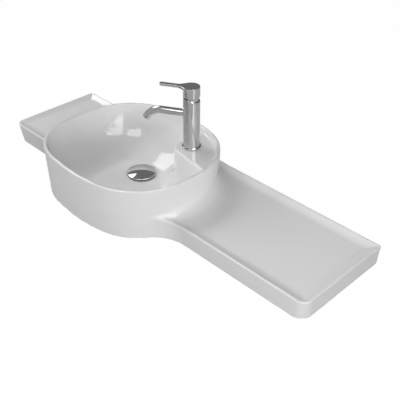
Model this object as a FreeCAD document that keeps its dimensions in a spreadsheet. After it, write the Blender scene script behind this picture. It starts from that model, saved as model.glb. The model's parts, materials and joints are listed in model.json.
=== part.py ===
"""Wall-hung washbasin: an oval bowl between two tray shelves, a lever mixer tap and a push-button waste.

Millimetres, +Z up, -Y towards the user. The origin lies on the wall plane, midway between the two wall-fixing
holes, and the bowl is centred on X = 0.
"""
import FreeCAD
import Part
import Sketcher
import math
import os
import re

Vector = FreeCAD.Vector
UP = Vector(0, 0, 1)
ACROSS = Vector(0, 1, 0)

doc = FreeCAD.newDocument("Washbasin")

# Driving dimensions, one row each: alias, value, meaning
SIZES = [
    ("shelf_left", 412, "bowl centre to the left end"),
    ("shelf_right", 588, "bowl centre to the right end"),
    ("shelf_depth", 260, "wall to the shelves' front edge"),
    ("shelf_height", 50, "height of the shelves' outer edge"),
    ("edge_draft", 5.5, "how far the outer faces lean in at the bottom"),
    ("front_corner_r", 21, "plan radius of the front corners"),
    ("back_corner_r", 4, "plan radius of the corners at the wall"),
    ("lip_width", 5, "flat top of the lip round a tray"),
    ("lip_slope", 9, "width of the slope inside the lip"),
    ("tray_depth", 8, "tray floor below the lip"),
    ("bowl_width", 416, "outer width of the rim"),
    ("bowl_depth", 368, "outer depth of the rim"),
    ("bowl_height", 128, "bottom edge to the rim"),
    ("bowl_front_r", 400, "plan radius of the rim's front and back"),
    ("bowl_side_r", 350, "plan radius of the rim's sides"),
    ("bowl_corner_in", 29, "rim's corner radius, less than half the bowl's depth"),
    ("sweep_r", 92, "plan radius where the bowl sweeps into a shelf"),
    ("cove_r", 24, "hollow between the bowl's wall and a tray"),
    ("cove_bite", 0.4, "how far that hollow cuts into wall and tray"),
    ("cove_angle", 4, "plan angle from the sweep to the hollow's end, degrees"),
    ("rim_width", 8, "thickness of the bowl's wall at the rim"),
    ("rim_round", 2.5, "rounding of the rim's edges"),
    ("bowl_lean", 24, "how far the inner wall leans in at the floor"),
    ("bowl_fillet", 88, "rounding between inner wall and floor"),
    ("floor_height", 20, "bowl floor above the bottom edge"),
    ("wall", 12, "thickness of the casting"),
    ("deck_drop", 10, "tap ledge below the rim"),
    ("deck_side", 36, "tap axis to the ledge's inner end"),
    ("deck_front", 42, "tap axis to the ledge's front"),
    ("deck_corner_r", 34, "plan radius of the ledge's free corner"),
    ("deck_angle", 8.4, "plan angle between the ledge's front and the wall, degrees"),
    ("deck_edge", 3.5, "rounding of the ledge's top edge"),
    ("deck_foot_r", 45, "hollow between the ledge and the bowl's floor"),
    ("deck_thick", 12, "thickness of the tap ledge"),
    ("fixing_height", 15, "wall-fixing holes above the bottom edge"),
    ("fixing_spacing", 280, "distance between the wall-fixing holes"),
    ("fixing_hole_d", 14, "wall-fixing hole"),
    ("tap_x", 97, "tap axis right of the bowl's centre"),
    ("tap_y", -84, "tap axis in front of the wall"),
    ("tap_angle", 210, "plan direction of the spout, from +X, degrees"),
    ("tap_hole_d", 35, "hole in the tap ledge"),
    ("drain_x", -12, "waste axis"),
    ("drain_y", -153, "waste axis in front of the wall"),
    ("drain_hole_d", 46, "hole in the bowl's floor"),
    ("drain_recess_d", 68, "recess for the waste's flange"),
    ("drain_recess", 3, "depth of that recess"),
    ("slip", 0.05, "radial clearance of turning and sliding fits"),
    ("play", 0.3, "clearance between faces that pass each other"),
    ("foot_seal", 1, "gasket under the tap"),
    ("foot_ring_d", 46, "ring round the tap's foot"),
    ("foot_ring_h", 3, "height of that ring"),
    ("foot_ring_edge", 0.8, "chamfer of that ring"),
    ("column_d", 40, "tap column"),
    ("column_high", 133, "column top at the lever's side, above the ledge"),
    ("column_low", 122, "column top at the back"),
    ("spigot_d", 32, "part of the column inside the ledge's hole"),
    ("spigot_drop", 9, "length of that spigot below the ledge"),
    ("inlet_d", 9, "hose thread, core diameter"),
    ("inlet_deep", 12, "depth of the hose thread"),
    ("inlet_back", 5, "hose threads behind the tap axis"),
    ("inlet_apart", 16, "distance between the hose threads"),
    ("stud_d", 8, "fixing stud"),
    ("stud_front", 9, "fixing stud in front of the tap axis"),
    ("stud_deep", 12, "stud's thread in the column"),
    ("stud_length", 58, "fixing stud, overall"),
    ("clamp_d", 44, "washer and plate under the ledge"),
    ("clamp_gap_d", 27, "opening of the washer and plate for the hoses"),
    ("clamp_rubber", 3, "rubber washer under the ledge"),
    ("clamp_steel", 2.5, "steel plate under that washer"),
    ("stud_nut_wide", 13, "stud nut across flats"),
    ("stud_nut_h", 6.5, "stud nut"),
    ("spout_d", 18.5, "spout tube"),
    ("spout_bore_d", 14.5, "spout bore"),
    ("spout_z", 88, "spout axis above the ledge"),
    ("spout_seat", 9, "spout's root from the tap axis"),
    ("spout_reach", 80, "tap axis to the start of the bend"),
    ("spout_bend_r", 30, "bend radius of the spout"),
    ("spout_angle", 55, "bend of the spout, degrees"),
    ("spout_nose", 14, "straight end after the bend"),
    ("jet_shell_h", 9, "aerator shell"),
    ("jet_wall", 1.2, "wall of the aerator shell"),
    ("jet_inset", 0.8, "aerator behind the spout's end"),
    ("jet_seal_h", 1.5, "aerator gasket"),
    ("jet_mesh_h", 1.6, "screen at the aerator's mouth"),
    ("jet_bars", 3, "bars each way in the screen"),
    ("jet_bar", 0.8, "width of a bar"),
    ("seat_z", 105, "cartridge seat above the ledge"),
    ("step_z", 118, "shoulder for the cartridge's flange"),
    ("cart_bore_d", 26, "column bore round the cartridge"),
    ("nut_bore_d", 33, "column bore above the shoulder"),
    ("cart_base_h", 3, "cartridge base plate"),
    ("cart_base_lift", 0.2, "base plate above its seat"),
    ("port_d", 4.6, "ports through base plate and fixed disc"),
    ("port_ring", 5, "ports from the cartridge's axis"),
    ("port_seal_d", 8, "seal round a port"),
    ("port_seal_h", 1.15, "seal round a port, pressed"),
    ("fixed_disc_d", 18.6, "fixed ceramic disc"),
    ("disc_h", 3, "thickness of a ceramic disc"),
    ("moving_disc_d", 14, "sliding ceramic disc"),
    ("disc_land", 2.4, "sealing land round the hollow of the sliding disc"),
    ("disc_travel", 4.2, "travel of the sliding disc"),
    ("carrier_h", 3, "carrier on the sliding disc"),
    ("carrier_hole_d", 5.2, "hole for the spindle's ball"),
    ("housing_bore_d", 19.4, "cartridge housing bore"),
    ("housing_flange_d", 31, "cartridge housing flange"),
    ("housing_flange_h", 2, "thickness of that flange"),
    ("housing_neck_d", 23, "housing above the flange"),
    ("housing_top", 127, "top of the housing above the ledge"),
    ("nut_h", 6, "ring nut on the cartridge"),
    ("pivot_z", 128, "tilt axis above the ledge"),
    ("rotor_top", 131, "top of the rotor above the ledge"),
    ("pin_d", 3, "tilt pin"),
    ("pin_length", 17, "tilt pin"),
    ("spindle_thick", 5, "spindle along the lever"),
    ("spindle_wide", 6, "spindle across the lever"),
    ("spindle_top", 154, "top of the spindle above the ledge"),
    ("ball_d", 4, "ball at the spindle's foot"),
    ("finger_d", 3.2, "finger above that ball"),
    ("dome_r", 16.2, "trim dome, centred on the tilt axis"),
    ("dome_wall", 1.5, "wall of the trim dome"),
    ("dome_mouth_d", 21, "opening of the trim dome"),
    ("cap_d", 40, "handle cap"),
    ("cap_low", 134, "lower edge of the handle cap above the ledge"),
    ("cap_high", 158, "flat top of the handle cap"),
    ("cap_wall", 2, "wall of the handle cap"),
    ("cap_ceiling", 150, "inside of the cap's top"),
    ("cap_edge", 1.5, "rounding of the cap's top edge"),
    ("boss_d", 14, "boss that takes the spindle"),
    ("boss_low", 145, "lower end of that boss"),
    ("lever_reach", 75, "tap axis to the lever's tip"),
    ("lever_wide", 9.5, "width of the lever"),
    ("lever_thick", 5, "thickness of the lever"),
    ("lever_flare", 15, "plan radius where the lever joins the cap"),
    ("screw_d", 4, "grub screw in the handle"),
    ("screw_length", 6, "grub screw in the handle"),
    ("screw_z", 147.6, "grub screw above the ledge"),
    ("screw_reach_d", 4.6, "hole in the cap that the screw is reached by"),
    ("flange_d", 65, "waste flange"),
    ("flange_h", 3, "waste flange"),
    ("flange_seal", 1.5, "gasket under the waste flange"),
    ("tail_d", 41.9, "waste tail, pipe thread"),
    ("tail_bore_d", 36, "waste bore"),
    ("tail_end", 85, "waste tail below the bowl's floor"),
    ("tail_relief", 2, "width of the groove below the waste nut, half as deep"),
    ("under_seal_d", 62, "washer below the bowl's floor"),
    ("under_seal_h", 4, "washer below the bowl's floor"),
    ("waste_nut_wide", 58, "waste nut across flats"),
    ("waste_nut_h", 9, "waste nut"),
    ("web_z", 22, "top of the waste's cross web below the floor"),
    ("web_h", 6, "height of the cross web"),
    ("web_thick", 3, "thickness of a web arm"),
    ("web_boss_d", 21, "boss in the middle of the web"),
    ("barrel_d", 17, "click mechanism's barrel"),
    ("barrel_bore_d", 14, "bore of that barrel"),
    ("barrel_top", 14, "top of the barrel below the floor"),
    ("barrel_end", 50, "lower end of the barrel below the floor"),
    ("barrel_lid", 3, "end wall of the barrel"),
    ("stem_d", 7, "stem of the waste lid"),
    ("stem_collar_d", 13, "collar that the spring lifts"),
    ("stem_collar_h", 3, "collar that the spring lifts"),
    ("stem_collar_z", 29, "top of the collar below the floor"),
    ("stem_end", 40, "lower end of the stem below the floor"),
    ("spring_wire_d", 1.2, "spring wire"),
    ("spring_d", 10.4, "spring, middle of the wire"),
    ("spring_turns", 5, "turns of the spring"),
    ("spring_steps", 9, "sections in each turn of the spring"),
    ("lid_d", 72, "waste lid"),
    ("lid_low", 4, "edge of the lid above the floor"),
    ("lid_edge", 2.2, "height of the lid's edge"),
    ("lid_rise", 3.8, "crown of the lid above its edge"),
    ("lid_wall", 2, "wall of the lid"),
    ("lid_boss_d", 14, "boss under the lid"),
    ("lid_seal_d", 58, "rubber ring under the lid"),
    ("lid_seal_wide", 7, "width of that ring"),
]

sheet = doc.addObject("Spreadsheet::Sheet", "Sizes")
for row, (alias, value, meaning) in enumerate(SIZES, start=1):
    sheet.set(f"A{row}", meaning)
    sheet.set(f"B{row}", str(value))
    sheet.setAlias(f"B{row}", alias)
doc.recompute()
ALIASES = {alias for alias, _, _ in SIZES}


def size(formula):
    """Value of a formula written in the sheet's aliases."""
    return float(sheet.evalExpression(formula))


def bound(formula):
    """The same formula as another object of the document has to write it."""
    def qualify(match):
        word = match.group()
        return "Sizes." + word if word in ALIASES else word
    return re.sub(r"[A-Za-z_]\w*", qualify, formula)


# Levels that several pieces share, in the basin's frame
BOTTOM = "-fixing_height"
LIP = "(shelf_height - fixing_height)"
RIM = "(bowl_height - fixing_height)"
FLOOR = "(floor_height - fixing_height)"
DECK = "(bowl_height - fixing_height - deck_drop)"

TAP = FreeCAD.Placement(Vector(size("tap_x"), size("tap_y"), size(DECK)), FreeCAD.Rotation(UP, size("tap_angle")))
WASTE = FreeCAD.Placement(Vector(size("drain_x"), size("drain_y"), size(FLOOR)), FreeCAD.Rotation())

pieces = []


def finished(piece, label, place):
    """Names a sub-part, carries it from where it was drawn to its place and lists it for writing."""
    piece.Label = label
    for axis in "xyz":
        piece.setExpression(f"Placement.Base.{axis}", None)
    piece.Placement = place.multiply(piece.Placement)
    pieces.append(piece)
    return piece


# Drawing helpers
LEFT, RIGHT = 1, -1


def arc_between(start, end, radius, side):
    """Arc from start to end whose centre lies on the given side of the way."""
    chord = end - start
    height = math.sqrt(max(radius ** 2 - chord.Length ** 2 / 4, 0))
    normal = Vector(-chord.y, chord.x, 0).normalize() * side
    centre = (start + end) / 2 + normal * height
    first, last = (start, end) if side == LEFT else (end, start)
    turn = [math.atan2(p.y - centre.y, p.x - centre.x) for p in (first, last)]
    return Part.ArcOfCircle(Part.Circle(centre, UP, radius), turn[0], turn[1])


def draw(sketch, corners, closed=True):
    """Draws lines and arcs through corners, each (across, up) or (across, up, (radius, side)) for an arc onwards."""
    points = [Vector(size(corner[0]), size(corner[1]), 0) for corner in corners]
    count = len(corners) if closed else len(corners) - 1
    ends = []
    for index in range(count):
        start, end = points[index], points[(index + 1) % len(points)]
        if len(corners[index]) == 2:
            line = sketch.addGeometry(Part.LineSegment(start, end), False)
            ends.append((line, 1, 2))
            continue
        formula, side = corners[index][2]
        arc = sketch.addGeometry(arc_between(start, end, size(formula), side), False)
        ends.append((arc, 1, 2) if side == LEFT else (arc, 2, 1))
        radius = sketch.addConstraint(Sketcher.Constraint("Radius", arc, size(formula)))
        sketch.setExpression(f"Constraints[{radius}]", bound(formula))
    for index in range(count if closed else count - 1):
        edge, after = ends[index], ends[(index + 1) % count]
        sketch.addConstraint(Sketcher.Constraint("Coincident", edge[0], edge[2], after[0], after[1]))
    for index, corner in enumerate(corners):
        edge, point = (ends[index][0], ends[index][1]) if index < count else (ends[-1][0], ends[-1][2])
        for kind, axis, formula, value in (("DistanceX", -2, corner[0], points[index].x),
                                           ("DistanceY", -1, corner[1], points[index].y)):
            if formula == "0":
                sketch.addConstraint(Sketcher.Constraint("PointOnObject", edge, point, axis))
                continue
            place = sketch.addConstraint(Sketcher.Constraint(kind, -1, 1, edge, point, value))
            sketch.setExpression(f"Constraints[{place}]", bound(formula))


def sketch_on(body, name, role):
    """Sketch on one of the body's own origin planes."""
    plane = next(feature for feature in body.Origin.OriginFeatures if feature.Role == role)
    sketch = body.newObject("Sketcher::SketchObject", name)
    sketch.AttachmentSupport = (plane, [""])
    sketch.MapMode = "FlatFace"
    return sketch


def turned(name, corners):
    """Body turned about the upright axis from a half section."""
    body = doc.addObject("PartDesign::Body", name)
    sketch = sketch_on(body, name + "_section", "XZ_Plane")
    draw(sketch, corners)
    turn = body.newObject("PartDesign::Revolution", name + "_turn")
    turn.Profile = sketch
    turn.ReferenceAxis = (sketch, ["V_Axis"])
    turn.Angle = 360
    sketch.Visibility = False
    return body


def ring(name, inner, outer, low, high):
    """Plain turned ring."""
    return turned(name, [(inner, low), (outer, low), (outer, high), (inner, high)])


def spot(primitive, x, y, z, rotation=None):
    """Places a primitive by formulas."""
    base = Vector(size(x), size(y), size(z))
    primitive.Placement = FreeCAD.Placement(base, rotation or FreeCAD.Rotation())
    for axis, formula in zip("xyz", (x, y, z)):
        primitive.setExpression(f"Placement.Base.{axis}", bound(formula))
    return primitive


def rod(name, diameter, length, x="0", y="0", z="0", rotation=None):
    """Round bar, upright unless a rotation is given."""
    bar = doc.addObject("Part::Cylinder", name)
    bar.setExpression("Radius", bound(f"({diameter}) / 2"))
    bar.setExpression("Height", bound(length))
    return spot(bar, x, y, z, rotation)


def block(name, x, y, z):
    """Box from (low, high) formulas along each axis."""
    brick = doc.addObject("Part::Box", name)
    for side, (low, high) in zip(("Length", "Width", "Height"), (x, y, z)):
        brick.setExpression(side, bound(f"({high}) - ({low})"))
    return spot(brick, x[0], y[0], z[0])


def cut(name, base, tools):
    """Base without the tools."""
    result = doc.addObject("Part::Cut", name)
    result.Base = base
    result.Tool = tools[0] if len(tools) == 1 else joined(name + "_tools", tools)
    return result


def joined(name, shapes):
    """Several shapes as one solid."""
    result = doc.addObject("Part::MultiFuse", name)
    result.Shapes = shapes
    return result


def hexagon(name, wide, low, height, x="0"):
    """Six-sided nut blank, given across its flats."""
    blank = doc.addObject("Part::Prism", name)
    blank.Polygon = 6
    blank.setExpression("Circumradius", bound(f"{wide} / 2 / cos(30 deg)"))
    blank.setExpression("Height", bound(height))
    return spot(blank, x, "0", low)


LYING = FreeCAD.Rotation(ACROSS, 90)
CROSSWISE = FreeCAD.Rotation(Vector(1, 0, 0), -90)

# Basin: plan curves
HALF_WIDTH = size("bowl_width / 2")
HALF_DEPTH = size("bowl_depth / 2")
FRONT_R = size("bowl_front_r")
SIDE_R = size("bowl_side_r")
CORNER_R = HALF_DEPTH - size("bowl_corner_in")
LEAN_TOTAL = size("edge_draft")


def corner_centre():
    """Centre of the rim's corner arc, from the bowl's middle, where it meets both big arcs tangentially."""
    front = Vector(0, HALF_DEPTH - FRONT_R, 0)
    side = Vector(HALF_WIDTH - SIDE_R, 0, 0)
    apart = (side - front).Length
    reach_front = FRONT_R - CORNER_R
    reach_side = SIDE_R - CORNER_R
    along = (apart ** 2 + reach_front ** 2 - reach_side ** 2) / (2 * apart)
    aside = math.sqrt(reach_front ** 2 - along ** 2)
    way = (side - front).normalize()
    choices = [front + way * along + Vector(-way.y, way.x, 0) * aside * sign for sign in (1, -1)]
    return max(choices, key=lambda point: point.x + point.y)


CORNER = corner_centre()
MIDDLE = Vector(0, -HALF_DEPTH, 0)
STEEP = math.atan2(CORNER.y - (HALF_DEPTH - FRONT_R), CORNER.x)
FLAT = math.atan2(CORNER.y, CORNER.x - (HALF_WIDTH - SIDE_R))


def arc_edge(centre, radius, start, end, level):
    """Arc about an upright axis, from one angle to another."""
    def at(angle):
        return Vector(centre.x + radius * math.cos(angle), centre.y + radius * math.sin(angle), level)
    return Part.Arc(at(start), at((start + end) / 2), at(end)).toShape()


def oval_arcs():
    """The rim's eight arcs as (centre, radius, start, end), counter-clockwise from the right side."""
    side = Vector(HALF_WIDTH - SIDE_R, 0, 0)
    front = Vector(0, HALF_DEPTH - FRONT_R, 0)
    lower = Vector(CORNER.x, -CORNER.y, 0)
    arcs = [
        (side, SIDE_R, -FLAT, FLAT),
        (CORNER, CORNER_R, FLAT, STEEP),
        (front, FRONT_R, STEEP, math.pi - STEEP),
        (-lower, CORNER_R, math.pi - STEEP, math.pi - FLAT),
        (-side, SIDE_R, math.pi - FLAT, math.pi + FLAT),
        (-CORNER, CORNER_R, math.pi + FLAT, math.pi + STEEP),
        (-front, FRONT_R, math.pi + STEEP, 2 * math.pi - STEEP),
        (lower, CORNER_R, 2 * math.pi - STEEP, 2 * math.pi - FLAT),
    ]
    return [(MIDDLE + centre, radius, start, end) for centre, radius, start, end in arcs]


def oval(offset, level):
    """Closed oval parallel to the rim."""
    edges = [arc_edge(centre, radius + offset, start, end, level) for centre, radius, start, end in oval_arcs()]
    return Part.Wire(edges)


def lean(level):
    """Offset of the bowl's outer wall at a level: nothing at the rim, the full draft at the bottom edge."""
    return -LEAN_TOTAL * (size(RIM) - level) / size("bowl_height")


def sweep_arc(oval_offset, shelf_offset):
    """Centre, radius and rim angle of the arc that leads the bowl's wall into the shelf's front edge."""
    radius = size("sweep_r") - shelf_offset
    corner = MIDDLE + Vector(CORNER.x, -CORNER.y, 0)
    centre_y = -size("shelf_depth") - shelf_offset - radius
    reach = CORNER_R + oval_offset + radius
    centre = Vector(corner.x + math.sqrt(reach ** 2 - (centre_y - corner.y) ** 2), centre_y, 0)
    return centre, radius, math.atan2(centre.y - corner.y, centre.x - corner.x)


def outline(level, oval_offset, shelf_offset, back_offset):
    """Closed plan outline of the whole casting, counter-clockwise from the left shelf's front edge."""
    left = -size("shelf_left") - shelf_offset
    right = size("shelf_right") + shelf_offset
    front = -size("shelf_depth") - shelf_offset
    round_front = size("front_corner_r") + shelf_offset
    round_back = max(size("back_corner_r") + shelf_offset, size("rim_round / 2"))
    centre, sweep, angle = sweep_arc(oval_offset, shelf_offset)
    mirrored = Vector(-centre.x, centre.y, 0)
    arcs = oval_arcs()
    quarter = math.pi / 2

    def point(x, y):
        return Vector(x, y, level)

    def straight(start, end):
        return Part.LineSegment(start, end).toShape()

    def bend(x, y, radius, start):
        return arc_edge(Vector(x, y, 0), radius, start, start + quarter, level)

    def rim_part(index, start, end):
        return arc_edge(arcs[index][0], arcs[index][1] + oval_offset, start, end, level)

    return Part.Wire([
        straight(point(left + round_front, front), point(-centre.x, front)),
        arc_edge(mirrored, sweep, quarter, -angle, level),
        rim_part(5, math.pi - angle, math.pi + STEEP),
        rim_part(6, math.pi + STEEP, 2 * math.pi - STEEP),
        rim_part(7, 2 * math.pi - STEEP, 2 * math.pi + angle),
        arc_edge(centre, sweep, math.pi + angle, quarter, level),
        straight(point(centre.x, front), point(right - round_front, front)),
        bend(right - round_front, front + round_front, round_front, -quarter),
        straight(point(right, front + round_front), point(right, back_offset - round_back)),
        bend(right - round_back, back_offset - round_back, round_back, 0),
        straight(point(right - round_back, back_offset), point(left + round_back, back_offset)),
        bend(left + round_back, back_offset - round_back, round_back, quarter),
        straight(point(left, back_offset - round_back), point(left, front + round_front)),
        bend(left + round_front, front + round_front, round_front, 2 * quarter),
    ])


def upright(wire, high):
    """Solid straight up from a flat wire to a level."""
    low = wire.BoundBox.ZMin
    return Part.Face(wire).extrude(UP * (high - low))


def ruled(wires):
    """Solid through wires of the same make."""
    return Part.makeLoft(wires, True, True)


def edges_at(shape, level):
    """Edges that lie flat at a level."""
    return [edge for edge in shape.Edges
            if abs(edge.BoundBox.ZMin - level) < 1e-4 and abs(edge.BoundBox.ZMax - level) < 1e-4]


# Basin: the casting. Cutting tools reach past the surface they cut by a margin, and the back is ground flat.
MARGIN = size("wall / 2")
BACK_TRIM = size("rim_round / 4")


def skirt():
    """Lower block: the drafted edge all round, with both trays sunk into its top."""
    bottom, lip = size(BOTTOM), size(LIP)
    tray = lip - size("tray_depth")
    lip_width = size("lip_width")
    foot = lip_width + size("lip_slope")
    solid = ruled([
        outline(bottom, -LEAN_TOTAL, -LEAN_TOTAL, BACK_TRIM),
        outline(lip, lean(lip), 0, BACK_TRIM),
    ])
    trays = ruled([
        outline(tray, lean(lip) - foot, -foot, -foot),
        outline(lip, lean(lip) - lip_width, -lip_width, -lip_width),
    ])
    above = upright(outline(lip, lean(lip) - lip_width, -lip_width, -lip_width), lip + MARGIN)
    under_bowl = upright(oval(lean(lip), tray - MARGIN), lip + 2 * MARGIN)
    return solid.cut(trays.fuse(above).cut(under_bowl))


def coves():
    """Hollow blend between the bowl's wall and the trays, ending where the sweeps meet the bowl."""
    lip = size(LIP)
    tray = lip - size("tray_depth")
    radius = size("cove_r")
    bite = size("cove_bite")
    deep = size("wall / 3")
    first_angle = sweep_arc(lean(lip), 0)[2] + math.radians(size("cove_angle"))
    arcs = oval_arcs()
    first = arcs[7]
    last = arcs[5]
    chain = [(first[0], first[1], first_angle, -FLAT)] + arcs[0:5]
    chain.append((last[0], last[1], last[2], math.pi - first_angle))
    result = None
    for centre, arc_radius, start, end in chain:
        wall = arc_radius + lean(lip)

        def at(outward, level, centre=centre, wall=wall, start=start):
            reach = wall + outward
            return Vector(centre.x + reach * math.cos(start), centre.y + reach * math.sin(start), level)

        slant = radius * (1 - math.sqrt(0.5))
        top = at(-bite, tray + radius - bite)
        foot = at(radius - bite, tray - bite)
        hollow = Part.Arc(top, at(slant - bite, tray + slant - bite), foot).toShape()
        rest = Part.makePolygon([foot, at(radius - bite, tray - deep), at(-deep, tray - deep),
                                 at(-deep, tray + radius - bite), top])
        section = Part.Face(Part.Wire([hollow] + rest.Edges))
        piece = section.revolve(centre, UP, math.degrees(end - start))
        result = piece if result is None else result.fuse(piece)
    inside = size("lip_width") / 2
    above = upright(outline(lip, lean(lip), 0, BACK_TRIM), tray + radius + MARGIN)
    below = upright(outline(tray - 2 * deep, lean(lip) - inside, -inside, -inside), lip)
    return result.common(above).fuse(result.common(below))


def bowl():
    """Upper block: a ring from the lip's level to the rim, which is rounded inside and out."""
    lip, rim = size(LIP), size(RIM)
    solid = ruled([oval(lean(lip), lip), oval(0, rim)]).cut(hollow_of_bowl(0))
    return solid.makeFillet(size("rim_round"), edges_at(solid, rim))


def on_ledge(shape):
    """Turns a shape about the tap axis to the ledge's angle."""
    axis = Vector(size("tap_x"), size("tap_y"), 0)
    return shape.rotate(axis, UP, -size("deck_angle"))


def deck_block(inset, low, high):
    """Column below the tap ledge: a free corner towards the bowl's middle, the rest past the bowl's wall."""
    left = size("tap_x - deck_side") + inset
    front = size("tap_y - deck_front") + inset
    radius = size("deck_corner_r") - inset
    far = size("bowl_width")

    def point(x, y):
        return Vector(x, y, low)

    corner = arc_edge(Vector(left + radius, front + radius, 0), radius, math.pi, 1.5 * math.pi, low)
    rest = Part.makePolygon([point(left + radius, front), point(far, front), point(far, far), point(left, far),
                             point(left, front + radius)])
    return upright(Part.Wire([corner] + rest.Edges), high)


def ledge():
    """The tap ledge as it stands in the bowl: rounded on top, with a hollow along its foot."""
    floor, deck = size(FLOOR), size(DECK)
    radius, bite, corner_r = size("deck_foot_r"), size("cove_bite"), size("deck_corner_r")
    left, front = size("tap_x - deck_side"), size("tap_y - deck_front")
    far = size("bowl_width")
    block = deck_block(0, floor - MARGIN, deck)
    block = block.makeFillet(size("deck_edge"), edges_at(block, deck))

    def at(y, level):
        return Vector(left + corner_r, y, level)

    near, reach = front + bite, front + bite - radius
    slant = radius * (1 - math.sqrt(0.5)) - bite
    top, foot = at(near, floor + radius - bite), at(reach, floor - bite)
    hollow = Part.Arc(top, at(front - slant, floor + slant), foot).toShape()
    rest = Part.makePolygon([foot, at(reach, floor - MARGIN), at(near, floor - MARGIN), top])
    section = Part.Face(Part.Wire([hollow] + rest.Edges))
    centre = Vector(left + corner_r, front + corner_r, 0)
    corner = section.revolve(centre, UP, -90)
    aside = section.copy()
    aside.rotate(centre, UP, -90)
    along = [section.extrude(Vector(far, 0, 0)), corner, aside.extrude(Vector(0, far, 0))]
    return block.fuse(along)


def hollow_of_bowl(grow):
    """Inside of the bowl without the ledge, grown by the casting's wall for the space below."""
    floor, rim = size(FLOOR) - grow, size(RIM)
    top = rim + MARGIN
    slope = size("bowl_lean") / (rim - size(FLOOR))
    edge = -size("rim_width") + grow
    solid = ruled([oval(edge - slope * (rim - floor), floor), oval(edge + slope * MARGIN, top)])
    return solid.makeFillet(size("bowl_fillet") + grow, edges_at(solid, floor))


def underside():
    """Open space below: under the shelves, round the bowl and up under the tap ledge."""
    wall = size("wall")
    inset = LEAN_TOTAL + wall
    low = size(BOTTOM) - MARGIN
    shelf = upright(outline(low, -inset, -inset, -wall), size(LIP) - size("tray_depth") - wall)
    column = on_ledge(deck_block(wall, low, size(DECK) - size("deck_thick")))
    column = column.common(upright(oval(-inset, low), size(RIM)))
    return shelf.cut(hollow_of_bowl(wall)).fuse(column)


def post(diameter, base, way, length):
    """Round tool for a hole."""
    return Part.makeCylinder(diameter / 2, length, base, way)


def wall_side():
    """Everything behind the plane of the wall."""
    wide = size("shelf_left + shelf_right")
    high = size("bowl_height")
    corner = Vector(-size("shelf_left") - MARGIN, 0, size(BOTTOM) - MARGIN)
    return Part.makeBox(wide + 2 * MARGIN, MARGIN, high + 2 * MARGIN, corner)


def make_basin():
    """The whole casting, with its holes."""
    deck, floor = size(DECK), size(FLOOR)
    inside = hollow_of_bowl(0)
    solid = skirt().fuse([bowl(), coves()]).cut(inside)
    solid = solid.fuse(on_ledge(ledge()).common(inside)).cut(underside())
    tap = Vector(size("tap_x"), size("tap_y"), deck - 2 * size("deck_thick"))
    drain = Vector(size("drain_x"), size("drain_y"), floor)
    holes = [
        post(size("tap_hole_d"), tap, UP, 3 * size("deck_thick")),
        post(size("drain_hole_d"), drain - UP * 2 * size("wall"), UP, 3 * size("wall")),
        post(size("drain_recess_d"), drain - UP * size("drain_recess"), UP, size("drain_recess") + MARGIN),
    ]
    for side in (-1, 1):
        fixing = Vector(side * size("fixing_spacing") / 2, MARGIN, 0)
        holes.append(post(size("fixing_hole_d"), fixing, -ACROSS, size("wall") + 2 * MARGIN))
    return solid.cut(holes).cut(wall_side()).removeSplitter()


basin = doc.addObject("Part::Feature", "basin")
basin.Shape = make_basin()
finished(basin, "basin", FreeCAD.Placement())

# Tap foot: gasket and ring under the column
finished(ring("tap_base_seal", "spigot_d / 2 + play", "foot_ring_d / 2 - foot_ring_edge", "0", "foot_seal"),
         "tap_base_seal", TAP)
RING_TOP = "foot_seal + foot_ring_h"
finished(turned("tap_base_ring", [
    ("column_d / 2 + slip", "foot_seal"),
    ("foot_ring_d / 2", "foot_seal"),
    ("foot_ring_d / 2", RING_TOP + " - foot_ring_edge"),
    ("foot_ring_d / 2 - foot_ring_edge", RING_TOP),
    ("column_d / 2 + slip", RING_TOP),
]), "tap_base_ring", TAP)

# Water ports: the outlet towards the spout, and one feed each side
PORTS = [
    ("port_ring", "0"),
    ("-port_ring / 2", "port_ring * sqrt(3) / 2"),
    ("-port_ring / 2", "-port_ring * sqrt(3) / 2"),
]


def make_column():
    """Column with the cartridge's bores, cut at a slant on top and drilled for spout, water and stud."""
    blank = turned("column_blank", [
        ("0", "-spigot_drop"),
        ("spigot_d / 2", "-spigot_drop"),
        ("spigot_d / 2", "foot_seal"),
        ("column_d / 2", "foot_seal"),
        ("column_d / 2", "column_high + cap_wall"),
        ("nut_bore_d / 2", "column_high + cap_wall"),
        ("nut_bore_d / 2", "step_z"),
        ("cart_bore_d / 2", "step_z"),
        ("cart_bore_d / 2", "seat_z"),
        ("0", "seat_z"),
    ])
    slant = sketch_on(blank, "column_slant", "XZ_Plane")
    rise = "(column_high - column_low) / 2"
    level = "(column_high + column_low) / 2"
    draw(slant, [
        ("-column_d", f"{level} - 2 * {rise}"),
        ("column_d", f"{level} + 2 * {rise}"),
        ("column_d", "column_high + column_d"),
        ("-column_d", "column_high + column_d"),
    ])
    pocket = blank.newObject("PartDesign::Pocket", "column_top")
    pocket.Profile = slant
    pocket.Type = 1
    pocket.Midplane = True
    tools = [
        rod("spout_hole", "spout_d + 2 * slip", "column_d", "spout_seat", "0", "spout_z", LYING),
        rod("stud_hole", "stud_d + 2 * slip", "stud_deep", "stud_front", "0", "-spigot_drop"),
        rod("outlet_channel", "port_d", "seat_z - spout_z", PORTS[0][0], PORTS[0][1], "spout_z"),
        rod("outlet_elbow", "port_d", "spout_seat", "0", "0", "spout_z", LYING),
    ]
    inlet_top = "(inlet_deep - spigot_drop)"
    for side, sign, port in (("left", "", PORTS[1]), ("right", "-", PORTS[2])):
        tools.append(rod(f"inlet_{side}", "inlet_d", "inlet_deep", "-inlet_back", f"{sign}inlet_apart / 2",
                         "-spigot_drop"))
        tools.append(rod(f"feed_{side}", "port_d", f"seat_z - {inlet_top}", port[0], port[1], inlet_top))
    return cut("column", blank, tools)


finished(make_column(), "tap_body", TAP)

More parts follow.
